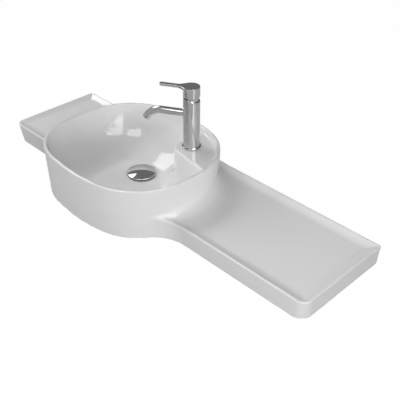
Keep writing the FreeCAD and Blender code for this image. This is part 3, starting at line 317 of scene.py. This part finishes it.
def shelf(x, y, corner):
    """Distance in plan from the shelves' edge. The rectangle runs on behind the wall, which cuts it later."""
    middle_x, half_x = (SHELF_RIGHT - SHELF_LEFT) / 2, (SHELF_RIGHT + SHELF_LEFT) / 2
    middle_y, half_y = (PAST_WALL - SHELF_DEPTH) / 2, (PAST_WALL + SHELF_DEPTH) / 2
    over_x = np.abs(x - middle_x) - half_x + corner
    over_y = np.abs(y - middle_y) - half_y + corner
    outside = np.hypot(np.maximum(over_x, 0), np.maximum(over_y, 0))
    return outside + np.minimum(np.maximum(over_x, over_y), 0) - corner


def casting(x, y, bowl_out, shelf_out):
    """Distance in plan from the outline of the whole casting, with bowl and shelves moved out by given amounts.

    The shelves' front corners grow rounder as the shelves move in, which is downwards.
    """
    corner = FRONT_CORNER + np.minimum(-CORNER_GROWTH * shelf_out, CORNER_MOST)
    plain = np.minimum(arcs(x, y) - bowl_out, shelf(x, y, corner) - shelf_out)
    corner_y = -BOWL_DEPTH / 2 - CORNER_MIDDLE.y
    middle_y = -SHELF_DEPTH - SWEEP
    reach = CORNER_ARC + SWEEP + bowl_out - shelf_out
    middle_x = CORNER_MIDDLE.x + np.sqrt(reach ** 2 - (middle_y - corner_y) ** 2)
    across, up = np.abs(x) - middle_x, y - middle_y
    to_corner_x, to_corner_y = CORNER_MIDDLE.x - middle_x, corner_y - middle_y
    in_sweep = (across < 0) & (up > 0) & (to_corner_x * up - to_corner_y * across < 0)
    return np.where(in_sweep, SWEEP - shelf_out - np.hypot(across, up), plain) - swell(x, y)


print("shelves:", SHELF_LEFT + SHELF_RIGHT, "m long,", SHELF_DEPTH, "m deep")

# %% [markdown]
# ## The casting in section
#
# Going up, the outer faces lean out a little, as they must to leave the mould. The shelves end in a lip round a
# shallow tray, and a hollow that widens towards the wall leads each tray up into the bowl. The bowl is a leaning wall
# and a floor with a generous rounding between them, and a ledge for the tap stands in its back right corner, just
# below the rim. From below, the casting is open: a shell of even thickness with pockets under the shelves and the
# ledge. Every one of these is a distance in plan joined with a height, so each rounding is one number. A spare of a
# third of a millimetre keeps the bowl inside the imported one.

# %% Heights and thicknesses
BOTTOM, FLOOR, TRAY, LIP, DECK, RIM = -0.0165, 0.005, 0.027, 0.035, 0.103, 0.113
DRAFT, WALL = 0.004, 0.012
LIP_WIDTH, LIP_SLOPE = 0.004, 0.010
LIP_ROUND, LIP_INSIDE, TRAY_ROUND = 0.0030, 0.0030, 0.009
COVE, COVE_LEAST, COVE_FROM, COVE_TO = 0.032, 0.012, -0.298, -0.235
RIM_WIDTH, RIM_ROUND = 0.008, 0.003
BOWL_LEAN, BOWL_ROUND = 0.024, 0.088
TAP_X, TAP_Y, TAP_HOLE = 0.097, -0.084, 0.0175
DECK_SIDE, DECK_FRONT, DECK_CORNER, DECK_TURN = 0.036, 0.042, 0.034, math.radians(8.4)
DECK_ROUND, DECK_NECK, DECK_FOOT = 0.004, 0.006, 0.045
DRAIN_X, DRAIN_Y, DRAIN_HOLE, DRAIN_SEAT, DRAIN_DEEP = -0.012, -0.153, 0.023, 0.034, 0.003
FIXING_X, FIXING_HOLE = 0.140, 0.007
SOFT, SPARE = 0.0012, 0.0003
LEAN_RATE = BOWL_LEAN / (RIM - FLOOR)
print("bowl", RIM - FLOOR, "m deep, its wall leans", round(math.degrees(math.atan(LEAN_RATE)), 1), "degrees")


# %% Bowl, ledge and outside
def bowl_space(x, y, z, grow):
    """Inside of the bowl, or the same space grown by a thickness."""
    wall = (oval(x, y) + RIM_WIDTH - grow + LEAN_RATE * (RIM - z)) * math.cos(math.atan(LEAN_RATE))
    return common(wall, FLOOR - grow - z, BOWL_ROUND + grow)


def ledge(x, y, z, inset, top, edge):
    """Block under the tap, with its free corner towards the bowl's middle."""
    across = (x - TAP_X) * math.cos(DECK_TURN) - (y - TAP_Y) * math.sin(DECK_TURN)
    along = (x - TAP_X) * math.sin(DECK_TURN) + (y - TAP_Y) * math.cos(DECK_TURN)
    plan = common(inset - DECK_SIDE - across, inset - DECK_FRONT - along, DECK_CORNER - inset)
    return common(plan, z - top, edge)


def basin_body(x, y, z):
    """Outside of the casting: skirt with trays, bowl, and the hollows between them."""
    bowl_out = -SPARE - DRAFT * (RIM - z) / (RIM - BOTTOM)
    shelf_out = -DRAFT * np.maximum(LIP - z, 0) / (LIP - BOTTOM)
    outline = casting(x, y, bowl_out, shelf_out)
    skirt = common(outline, z - LIP, LIP_ROUND)
    lip = LIP_WIDTH + LIP_SLOPE * (LIP - z) / (LIP - TRAY)
    slanted = math.hypot(1, LIP_SLOPE / (LIP - TRAY))
    tray = common(common(outline + lip, y + lip, TRAY_ROUND) / slanted, TRAY - z, TRAY_ROUND)
    skirt = without(skirt, tray, LIP_INSIDE)
    bowl = common(oval(x, y) - bowl_out, z - RIM, RIM_ROUND)
    plain = np.minimum(skirt, bowl)
    cove = COVE_LEAST + (COVE - COVE_LEAST) * smooth((y - COVE_FROM) / (COVE_TO - COVE_FROM))
    hollowed = common(merged(skirt, bowl, cove), outline, LIP_ROUND)
    return np.minimum(plain, hollowed)


print("skirt leans out", DRAFT, "m over its height")


# %% Underside and holes
def underside(x, y, z):
    """Pockets below: under the shelves and round the bowl, and up under the ledge."""
    inset = DRAFT + WALL
    pocket = common(common(casting(x, y, -inset, -inset), y + WALL, WALL / 2), z - TRAY + WALL, WALL / 2)
    pocket = without(pocket, bowl_space(x, y, z, WALL), WALL / 4)
    under_tap = common(ledge(x, y, z, WALL, DECK - WALL, WALL / 2), oval(x, y) + inset, WALL / 2)
    return np.minimum(pocket, under_tap)


def holes(x, y, z):
    """Holes for the tap, the waste with its seat, and the two wall bolts."""
    tap = np.maximum(np.hypot(x - TAP_X, y - TAP_Y) - TAP_HOLE, DECK - 2 * WALL - z)
    from_drain = np.hypot(x - DRAIN_X, y - DRAIN_Y)
    drain = np.maximum(from_drain - DRAIN_HOLE, z - FLOOR - WALL)
    seat = np.maximum(np.maximum(from_drain - DRAIN_SEAT, FLOOR - DRAIN_DEEP - z), z - FLOOR - WALL)
    bolt = np.maximum(np.hypot(np.abs(x) - FIXING_X, z) - FIXING_HOLE, -2 * WALL - y)
    return np.minimum(np.minimum(tap, bolt), np.minimum(drain, seat))


def basin_distance(x, y, z):
    """The whole casting."""
    low_share = np.clip((DECK - z) / (DECK - FLOOR - DECK_FOOT), 0, 1)
    foot = DECK_NECK + (DECK_FOOT - DECK_NECK) * low_share
    inside = without(bowl_space(x, y, z, 0), ledge(x, y, z, 0, DECK, DECK_ROUND), foot)
    solid = without(basin_body(x, y, z), inside, RIM_ROUND)
    solid = common(solid, BOTTOM - z, SOFT / 2)
    solid = common(solid, y, LIP_ROUND)
    solid = without(solid, underside(x, y, z), LIP_ROUND)
    return without(solid, holes(x, y, z), SOFT)


print("walls", WALL, "m thick below")

# %% The casting as a mesh
CERAMIC_CELL = 0.003
basin_low, basin_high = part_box("basin")
basin = carve("basin_glazed", basin_distance, basin_low, basin_high, CERAMIC_CELL)
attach(basin, "root")
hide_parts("basin")

# %% [markdown]
# ## The chromed pieces that show
#
# Each piece of the tap is drawn upright in the tap's own frame, where +X runs along spout and lever and zero is the
# ledge. Turned profiles and bevels would do for most of them. But chrome shows every facet and every hard edge, so
# these pieces are carved too, with finer cells, and their edges are broken by half a millimetre or so, as polishing
# does.

# %% Frames of tap and waste
TAP_TURN = math.radians(210)
TAP = Matrix.Translation((TAP_X, TAP_Y, DECK)) @ Matrix.Rotation(TAP_TURN, 4, "Z")
WASTE = Matrix.Translation((DRAIN_X, DRAIN_Y, FLOOR))
POLISHED = 0.0005
chromed = []


def chrome_piece(name, distance, low, high, cell, place, body, node):
    """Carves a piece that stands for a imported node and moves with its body."""
    piece = carve(name, distance, low, high, cell, place)
    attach(piece, body)
    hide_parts(node)
    chromed.append(piece)


print("tap at", TAP_X, TAP_Y, "turned", round(math.degrees(TAP_TURN)), "degrees")

# %% [markdown]
# ### Column and foot ring
#
# The column is a plain tube on a spigot. Its top is cut at a slant, so that the cap has room to tip back when the
# lever is lifted. The bores for the cartridge, the spout and the two inlets are taken out in one cut.

# %% Column and foot ring
COLUMN_R, COLUMN_TOP, SPIGOT_R, SPIGOT_LOW, FOOT = 0.020, 0.134, 0.016, -0.009, 0.001
SLANT_MIDDLE, SLANT_RATE = 0.12785, 0.2925
CARTRIDGE_R, CARTRIDGE_Z, NUT_R, NUT_Z = 0.013, 0.105, 0.0165, 0.118
SPOUT_Z, SPOUT_R, SPOUT_BORE, SPOUT_ROOT = 0.088, 0.00925, 0.00725, 0.009
INLET_R, INLET_BACK, INLET_SIDE, INLET_TOP = 0.0045, 0.005, 0.008, 0.003
RING_IN, RING_OUT, RING_HIGH, RING_EDGE = 0.02005, 0.023, 0.004, 0.0009
COLUMN_CELL, RING_CELL = 0.001, 0.0006


def column(x, y, z):
    """Round column, cut at a slant on top, with its spigot, the cartridge's bores and the spout's hole."""
    from_axis = np.hypot(x, y)
    top = (z - SLANT_MIDDLE - SLANT_RATE * x) / math.hypot(1, SLANT_RATE)
    shaft = common(common(from_axis - COLUMN_R, top, POLISHED), FOOT - z, POLISHED)
    spigot = np.maximum(from_axis - SPIGOT_R, np.maximum(SPIGOT_LOW - z, z - SPOUT_Z))
    nut = np.maximum(from_axis - NUT_R, NUT_Z - z)
    cartridge = np.maximum(from_axis - CARTRIDGE_R, CARTRIDGE_Z - z)
    mouth = np.maximum(np.hypot(y, z - SPOUT_Z) - SPOUT_R, SPOUT_ROOT - x)
    inlets = np.maximum(np.hypot(x + INLET_BACK, np.abs(y) - INLET_SIDE) - INLET_R, z - INLET_TOP)
    bores = np.minimum(np.minimum(nut, cartridge), np.minimum(mouth, inlets))
    return without(np.minimum(shaft, spigot), bores, POLISHED / 2)


def foot_ring(x, y, z):
    """Ring round the column's foot."""
    from_axis = np.hypot(x, y)
    outer = common(from_axis - RING_OUT, z - RING_HIGH, RING_EDGE)
    return np.maximum(common(outer, RING_IN - from_axis, POLISHED), FOOT - z)


chrome_piece("tap_column", column, (-COLUMN_R, -COLUMN_R, SPIGOT_LOW), (COLUMN_R, COLUMN_R, COLUMN_TOP),
             COLUMN_CELL, TAP, "root", "tap_body")
chrome_piece("tap_foot_ring", foot_ring, (-RING_OUT, -RING_OUT, FOOT), (RING_OUT, RING_OUT, RING_HIGH),
             RING_CELL, TAP, "root", "tap_base_ring")

# %% [markdown]
# ### Spout
#
# The spout is a bent tube. A curve with a bevel would give the tube, but not the broken edge at its mouth. Here each
# point is measured along and off the tube's middle line, and then the tube is as simple as a straight one.

# %% Spout
SPOUT_REACH, SPOUT_BEND, SPOUT_TURN, SPOUT_NOSE = 0.0722, 0.045, math.radians(55), 0.0062
SPOUT_EDGE, SPOUT_LOW, SPOUT_FAR, SPOUT_CELL = 0.0009, 0.045, 0.122, 0.0008


def spout(x, y, z):
    """Tube along a straight run, a bend and a short straight end."""
    over, up = x - SPOUT_REACH, z - SPOUT_Z + SPOUT_BEND
    turn = np.arctan2(over, up)
    bend_end = SPOUT_BEND * SPOUT_TURN
    nose_along = over * math.cos(SPOUT_TURN) - up * math.sin(SPOUT_TURN)
    nose_off = over * math.sin(SPOUT_TURN) + up * math.cos(SPOUT_TURN) - SPOUT_BEND
    where = [turn < 0, turn < SPOUT_TURN]
    along = np.select(where, [over, SPOUT_BEND * turn], bend_end + nose_along)
    off = np.select(where, [up - SPOUT_BEND, np.hypot(over, up) - SPOUT_BEND], nose_off)
    from_line = np.hypot(off, y)
    outer = common(from_line - SPOUT_R, along - bend_end - SPOUT_NOSE, SPOUT_EDGE)
    tube = common(outer, SPOUT_BORE - from_line, POLISHED)
    return np.maximum(tube, SPOUT_ROOT - SPOUT_REACH - along)


chrome_piece("tap_spout", spout, (SPOUT_ROOT, -SPOUT_R, SPOUT_LOW), (SPOUT_FAR, SPOUT_R, SPOUT_Z + SPOUT_R),
             SPOUT_CELL, TAP, "root", "spout")

# %% [markdown]
# ### Handle
#
# Cap and lever are one casting, flush on top, and two flared curves lead from one into the other. In plan that is a
# disc and a bar joined by a filled corner. The edges stay crisp, because a wide rounding would catch a white line.

# %% Handle
CAP_LOW, CAP_HIGH, CAP_WALL, CAP_CEILING, CAP_EDGE = 0.134, 0.158, 0.002, 0.150, 0.0006
BOSS_R, BOSS_LOW = 0.007, 0.145
LEVER_REACH, LEVER_HALF, LEVER_THICK, LEVER_FLARE, LEVER_EDGE = 0.0765, 0.00475, 0.0065, 0.015, 0.0007
HANDLE_CELL = 0.0005


def handle(x, y, z):
    """Cap with a slim lever, hollow below round a boss."""
    from_axis = np.hypot(x, y)
    cap = common(common(from_axis - COLUMN_R, z - CAP_HIGH, CAP_EDGE), CAP_LOW - z, POLISHED)
    bar = np.hypot(x - np.clip(x, 0, LEVER_REACH - LEVER_HALF), y) - LEVER_HALF
    plan = merged(from_axis - COLUMN_R, bar, LEVER_FLARE)
    lever = common(common(plan, z - CAP_HIGH, LEVER_EDGE), CAP_HIGH - LEVER_THICK - z, LEVER_EDGE)
    boss = np.maximum(from_axis - BOSS_R, BOSS_LOW - z)
    hollow = np.maximum(np.maximum(from_axis - COLUMN_R + CAP_WALL, z - CAP_CEILING), -boss)
    return without(np.minimum(cap, lever), hollow, POLISHED / 2)


chrome_piece("tap_handle", handle, (-COLUMN_R, -COLUMN_R, CAP_LOW), (LEVER_REACH, COLUMN_R, CAP_HIGH),
             HANDLE_CELL, TAP, "lever", "handle")

# %% [markdown]
# ### Waste lid
#
# The lid is a pressed cap with a shallow crown, and it rises with the plug. Its crown is part of a large ball, so that
# the windows mirrored in it keep their straight edges.

# %% Waste lid
LID_R, LID_LOW, LID_EDGE, LID_RISE, LID_WALL, LID_BOSS = 0.036, 0.004, 0.0022, 0.0038, 0.002, 0.007
CROWN_R = (LID_R ** 2 + LID_RISE ** 2) / (2 * LID_RISE)
LID_TOP = LID_LOW + LID_EDGE + LID_RISE
LID_CELL = 0.001


def lid(x, y, z):
    """Shallow dome with a rounded edge, hollow below round a boss."""
    from_axis = np.hypot(x, y)
    crown = np.hypot(from_axis, z - LID_TOP + CROWN_R) - CROWN_R
    dome = common(common(from_axis - LID_R, crown, LID_EDGE / 2), LID_LOW - z, LID_EDGE / 3)
    hollow = np.maximum(np.maximum(from_axis - LID_R + LID_WALL, crown + LID_WALL), LID_BOSS - from_axis)
    return without(dome, hollow, POLISHED / 2)


chrome_piece("waste_lid", lid, (-LID_R, -LID_R, LID_LOW), (LID_R, LID_R, LID_TOP), LID_CELL, WASTE,
             "plug", "plug_cap")

# %% [markdown]
# ## Shader maths
#
# A finish is a small program of nodes. The first class below wraps one output of a node, so that sums and products
# can be written as in Python, and each of them adds a Math node. Every other kind of node comes from one method.

# %% Signals
class Signal:
    """One output of a shader node; arithmetic on it adds Math nodes."""

    def __init__(self, nodes, socket):
        self.nodes = nodes
        self.socket = socket

    def maths(self, operation, first, second):
        """Adds a Math node."""
        return self.nodes.node("ShaderNodeMath", {"operation": operation}, {0: first, 1: second})

    def __add__(self, other):
        return self.maths("ADD", self, other)

    def __radd__(self, other):
        return self.maths("ADD", other, self)

    def __sub__(self, other):
        return self.maths("SUBTRACT", self, other)

    def __rsub__(self, other):
        return self.maths("SUBTRACT", other, self)

    def __mul__(self, other):
        return self.maths("MULTIPLY", self, other)

    def __rmul__(self, other):
        return self.maths("MULTIPLY", other, self)


# %% Node trees
BUMP_DEPTH = 0.0002


class Nodes:
    """The node tree of a material or a world, with one method for any node."""

    def __init__(self, owner):
        owner.use_nodes = True
        self.tree = owner.node_tree

    def feed(self, socket, value):
        """Links a signal to a socket, or sets a plain value on it."""
        if isinstance(value, Signal):
            self.tree.links.new(value.socket, socket)
        else:
            socket.default_value = value

    def node(self, kind, settings=None, inputs=None, output=0):
        """Adds a node: its type, its settings first, then the values or links of its sockets."""
        made = self.tree.nodes.new(kind)
        for key, value in (settings or {}).items():
            setattr(made, key, value)
        for key, value in (inputs or {}).items():
            self.feed(made.inputs[key], value)
        return Signal(self, made.outputs[output])

    def seen_or_mirrored(self):
        """1 for rays from the camera, from mirrors and from glass, else 0."""
        seen = self.node("ShaderNodeLightPath", output="Is Camera Ray")
        for ray in ("Is Glossy Ray", "Is Transmission Ray"):
            seen = seen.maths("MAXIMUM", seen, self.node("ShaderNodeLightPath", output=ray))
        return seen


class Finish(Nodes):
    """A material in the making."""

    def __init__(self, name):
        self.material = bpy.data.materials.new(name)
        super().__init__(self.material)
        self.shader = self.tree.nodes["Principled BSDF"]

    def set(self, **values):
        """Sets or links sockets of the main shader; an underscore stands for a space."""
        for key, value in values.items():
            self.feed(self.shader.inputs[key.replace("_", " ")], value)

    def show(self, shader):
        """Makes a shader the material's surface."""
        self.feed(self.tree.nodes["Material Output"].inputs["Surface"], shader)

    def only_glow(self, inputs):
        """Makes the material a glow and nothing else."""
        self.tree.nodes.remove(self.shader)
        self.show(self.node("ShaderNodeEmission", None, inputs))

    def place(self):
        """Where a point lies on the object."""
        return self.node("ShaderNodeTexCoord", output="Object")

    def noise(self, scale, detail):
        """Cloudy pattern from 0 to 1, with a feature size of one over the scale."""
        return self.node("ShaderNodeTexNoise", None, {"Vector": self.place(), "Scale": scale, "Detail": detail})

    def mix(self, share, first, second):
        """Colour between two colours."""
        return self.node("ShaderNodeMix", {"data_type": "RGBA"}, {0: share, 6: (*first, 1), 7: (*second, 1)}, output=2)

    def bump(self, height, strength):
        """Normal from a height pattern."""
        return self.node("ShaderNodeBump", None, {"Height": height, "Strength": strength, "Distance": BUMP_DEPTH})


def dress(piece, material):
    """Gives a piece one material."""
    piece.data.materials.clear()
    piece.data.materials.append(material)


print("bump depth", BUMP_DEPTH, "m")

# %% [markdown]
# ## Finishes
#
# Glaze is glass over white clay: pale, smooth, and never quite even, because it pools and thins as it melts. The other
# finishes share one recipe: a grain moves the colour between two tones, and the roughness and the surface with it.
# Chrome is a mirror with a trace of haze from wiping. Turned brass, mottled zinc on steel, matt rubber, moulded plastic
# and lapped ceramic sit out of sight, but each still gets a grain of its own.

# %% Glaze
POOLING, WAVE = 9.0, 38.0


def glaze():
    """White sanitary glaze with faint pooling and a slow wave in its surface."""
    finish = Finish("glaze")
    wave = finish.noise(WAVE, 1.0)
    white = finish.mix(finish.noise(POOLING, 3.0), (0.800, 0.800, 0.800), (0.830, 0.830, 0.828))
    finish.set(Base_Color=white, Roughness=0.004 + 0.012 * wave, IOR=1.5, Normal=finish.bump(wave, 0.03))
    return finish.material


GLAZE = glaze()
dress(basin, GLAZE)
print("glaze on", basin.name)


# %% Metals, rubber, plastic and technical ceramic
def grained(name, scale, detail, dark, pale, rough, spread, bump=0.0, metallic=0.0):
    """Finish whose grain moves colour and roughness, and raises the surface by a bump."""
    finish = Finish(name)
    grain = finish.noise(scale, detail)
    finish.set(Base_Color=finish.mix(grain, dark, pale), Metallic=metallic, Roughness=rough + spread * grain)
    if bump:
        finish.set(Normal=finish.bump(grain, bump))
    return finish.material


FINISHES = {
    "ceramic": GLAZE,
    "chrome": grained("chrome", 60.0, 4.0, (0.60, 0.60, 0.605), (0.65, 0.65, 0.655), 0.05, 0.06, metallic=1.0),
    "brass": grained("brass", 900.0, 2.0, (0.66, 0.47, 0.20), (0.80, 0.60, 0.29), 0.22, 0.14, 0.15, metallic=1.0),
    "steel": grained("zinc_steel", 240.0, 4.0, (0.50, 0.51, 0.52), (0.66, 0.67, 0.68), 0.26, 0.18, 0.1, metallic=1.0),
    "rubber": grained("rubber", 1400.0, 3.0, (0.022, 0.022, 0.024), (0.038, 0.038, 0.040), 0.62, 0.2, 0.25),
    "plastic": grained("acetal", 700.0, 2.0, (0.70, 0.70, 0.67), (0.77, 0.77, 0.75), 0.34, 0.14, 0.12),
    "alumina": grained("alumina", 1800.0, 2.0, (0.76, 0.73, 0.66), (0.84, 0.81, 0.75), 0.28, 0.12),
}
SMOOTH_BELOW = math.radians(35)

for part in frame["record"]["subparts"]:
    node = frame["nodes"][part["node"]]
    dress(node, FINISHES[part["material_slot"]])
    node.data.shade_smooth()
    node.data.set_sharp_from_angle(angle=SMOOTH_BELOW)
for piece in chromed:
    dress(piece, FINISHES["chrome"])

# %% [markdown]
# ## Light
#
# White ware is photographed in soft light, and it shows both how that light falls and what it mirrors. One set of
# lamps could do both, but then every change of tone would move a highlight. So the two are kept apart. Seven soft
# lamps light the basin and aren't mirrored in it; the widest hangs at the back left. The room itself is white where it
# is seen or mirrored, and adds next to no light.

# %% World
ROOM_LIGHT = 0.06


def make_world():
    """White where it is seen or mirrored, nearly dark where it would light."""
    world = bpy.data.worlds.new("pale_room")
    room = Nodes(world)
    strength = room.node("ShaderNodeMapRange", None,
                         {"Value": room.seen_or_mirrored(), "To Min": ROOM_LIGHT, "To Max": 1.0})
    background = room.tree.nodes["Background"]
    room.feed(background.inputs["Color"], (1, 1, 1, 1))
    room.feed(background.inputs["Strength"], strength)
    scene.world = world


make_world()
print("room light", ROOM_LIGHT)

# %% Lamps
MIDDLE = Vector((0.09, -0.18, 0.05))
# Name, azimuth and elevation in degrees, reach, width and height in metres, power in watts.
LAMPS = [
    ("back_left", 178, 46, 4.0, 3.0, 1.12, 68.0),
    ("left_low", 210, 20, 2.0, 0.9, 0.9, 7.8),
    ("front_low", 270, 20, 2.0, 0.9, 0.9, 9.6),
    ("front_high", 305, 40, 2.0, 0.6, 0.6, 4.6),
    ("right_low", 330, 4, 2.0, 0.6, 0.6, 13.8),
    ("right_high", 345, 40, 2.0, 0.6, 0.6, 8.8),
    ("right_side", 30, 20, 2.0, 0.9, 0.9, 2.6),
]


def way_to(azimuth, elevation):
    """Unit vector towards a direction, in degrees: azimuth from +X towards +Y, elevation from the horizon."""
    turn, rise = math.radians(azimuth), math.radians(elevation)
    return Vector((math.cos(turn) * math.cos(rise), math.sin(turn) * math.cos(rise), math.sin(rise)))


def soft_lamp(name, azimuth, elevation, reach, width, height, power):
    """Rectangular soft lamp that faces the basin; it lights, and the soft boxes are mirrored in its stead."""
    lamp = bpy.data.lights.new(name, "AREA")
    lamp.shape = "RECTANGLE"
    lamp.size, lamp.size_y = width, height
    lamp.energy = power
    light = bpy.data.objects.new(name, lamp)
    way = way_to(azimuth, elevation)
    light.location = MIDDLE + way * reach
    light.rotation_euler = (-way).to_track_quat("-Z", "Y").to_euler()
    light.visible_glossy = False
    scene.collection.objects.link(light)


for entry in LAMPS:
    soft_lamp(*entry)
print("lamps:", [entry[0] for entry in LAMPS])

# %% [markdown]
# ## What is mirrored
#
# Three soft boxes show as pale windows in the bowl. Their corners are written as directions from the place in the bowl
# where each window is seen, because that is what can be read off a mirror: the window's outline is the box's. Round
# everything stands a grey tent with a level foot, dark high up at the back, so that the chrome gets its greys.

# %% Soft boxes
BOX_REACH = 4.0
BOX_LEVEL = 5.5
# Name, the place it is seen from, and the azimuth and elevation of each corner.
SOFT_BOXES = [
    ("box_right", (-0.165, -0.110, 0.050), [(15, 35), (19, 46), (354, 57), (337, 57), (327, 3)]),
    ("box_front", (-0.130, -0.075, 0.045), [(321, 47), (286, 41), (271, 58), (323, 63)]),
    ("box_back_left", (-0.020, -0.090, 0.010),
     [(149.5, 42), (156.5, 47.4), (164.5, 50.5), (182, 53.8), (203, 52.5), (208, 40), (168, 36)]),
]


def flat_object(name, points, faces, finish):
    """Object of plain faces with a finish."""
    mesh = bpy.data.meshes.new(name)
    mesh.from_pydata(points, [], faces)
    mesh.materials.append(finish.material)
    piece = bpy.data.objects.new(name, mesh)
    scene.collection.objects.link(piece)
    return piece


def only_mirrored(piece):
    """Leaves a piece to be seen in mirrors alone."""
    piece.visible_camera = False
    piece.visible_diffuse = False
    piece.visible_shadow = False
    piece.visible_transmission = False
    piece.visible_volume_scatter = False


def soft_box(name, seen_from, corners):
    """Flat glowing panel whose corners lie in given directions from a point in the bowl."""
    ways = [way_to(*corner) for corner in corners]
    middle = sum(ways, Vector()).normalized()
    points = [Vector(seen_from) + way * (BOX_REACH / way.dot(middle)) for way in ways]
    finish = Finish(name)
    finish.only_glow({"Strength": BOX_LEVEL})
    only_mirrored(flat_object(name, points, [range(len(points))], finish))


for entry in SOFT_BOXES:
    soft_box(*entry)
print("soft boxes:", [entry[0] for entry in SOFT_BOXES])

# %% Tent
TENT_REACH, TENT_FOOT, TENT_ROWS, TENT_TURNS = 7.0, -0.80, 24, 32
TENT_LOW, TENT_PALE, TENT_DARK, TENT_BLEND = 0.52, 0.42, 0.20, 0.1
DARK_WAY = way_to(105, 48)
DARK_FULL, DARK_NONE = math.cos(math.radians(36)), math.cos(math.radians(58))


def tent_finish():
    """Grey cloth, palest on the ground and darkest high up at the back."""
    finish = Finish("tent")
    way = finish.node("ShaderNodeVectorMath", {"operation": "NORMALIZE"}, {0: finish.place()})
    facing = finish.node("ShaderNodeVectorMath", {"operation": "DOT_PRODUCT"}, {0: way, 1: DARK_WAY}, output="Value")
    height = finish.node("ShaderNodeSeparateXYZ", None, {0: way}, output="Z")
    pale = finish.node("ShaderNodeMapRange", None, {"Value": height, "From Min": -TENT_BLEND, "From Max": TENT_BLEND,
                                                    "To Min": TENT_LOW, "To Max": TENT_PALE})
    level = finish.node("ShaderNodeMapRange", {"interpolation_type": "SMOOTHSTEP"},
                        {"Value": facing, "From Min": DARK_NONE, "From Max": DARK_FULL,
                         "To Min": pale, "To Max": TENT_DARK})
    finish.only_glow({"Color": level})
    return finish


def tent():
    """Globe of cloth round the set, with a level foot."""
    points = []
    for row in range(TENT_ROWS + 1):
        rise = 180 * (row / TENT_ROWS - 0.5)
        for turn in range(TENT_TURNS):
            point = way_to(360 * turn / TENT_TURNS, rise) * TENT_REACH
            points.append((point.x, point.y, max(point.z, TENT_FOOT)))
    faces = []
    for row in range(TENT_ROWS):
        here, above = row * TENT_TURNS, (row + 1) * TENT_TURNS
        for turn in range(TENT_TURNS):
            onward = (turn + 1) % TENT_TURNS
            faces.append((here + turn, here + onward, above + onward, above + turn))
    cloth = flat_object("tent", points, faces, tent_finish())
    only_mirrored(cloth)
    return cloth


print("tent faces:", len(tent().data.polygons))

# %% [markdown]
# ## Floor
#
# The basin hangs over a white ground. A white lit floor would throw its light back up at the basin, so this one glows
# only for the eye and for mirrors, and a trace of its lit surface is mixed in, which keeps the basin's shadow.

# %% Floor
FLOOR_LEVEL, FLOOR_HALF = -0.85, 12.0
FLOOR_GLOW, FLOOR_CLOUD = 0.99, 0.6


def floor_finish():
    """Pale floor: white where it is seen or mirrored, with a trace of what falls on it."""
    finish = Finish("floor")
    pale = finish.mix(finish.noise(FLOOR_CLOUD, 2.0), (0.80, 0.80, 0.80), (0.84, 0.84, 0.84))
    finish.set(Base_Color=pale, Roughness=0.9, Specular_IOR_Level=0.0)
    lit = Signal(finish, finish.shader.outputs[0])
    glow = finish.node("ShaderNodeEmission", None, {"Strength": 1.0})
    share = finish.seen_or_mirrored() * FLOOR_GLOW
    finish.show(finish.node("ShaderNodeMixShader", None, {0: share, 1: lit, 2: glow}))
    return finish


def floor():
    """Wide level floor below the basin."""
    corners = [(-1, -1), (1, -1), (1, 1), (-1, 1)]
    points = [(x * FLOOR_HALF, y * FLOOR_HALF, FLOOR_LEVEL) for x, y in corners]
    ground = flat_object("floor", points, [(0, 1, 2, 3)], floor_finish())
    ground.visible_diffuse = False
    return ground


print("floor at", floor().data.vertices[0].co.z)
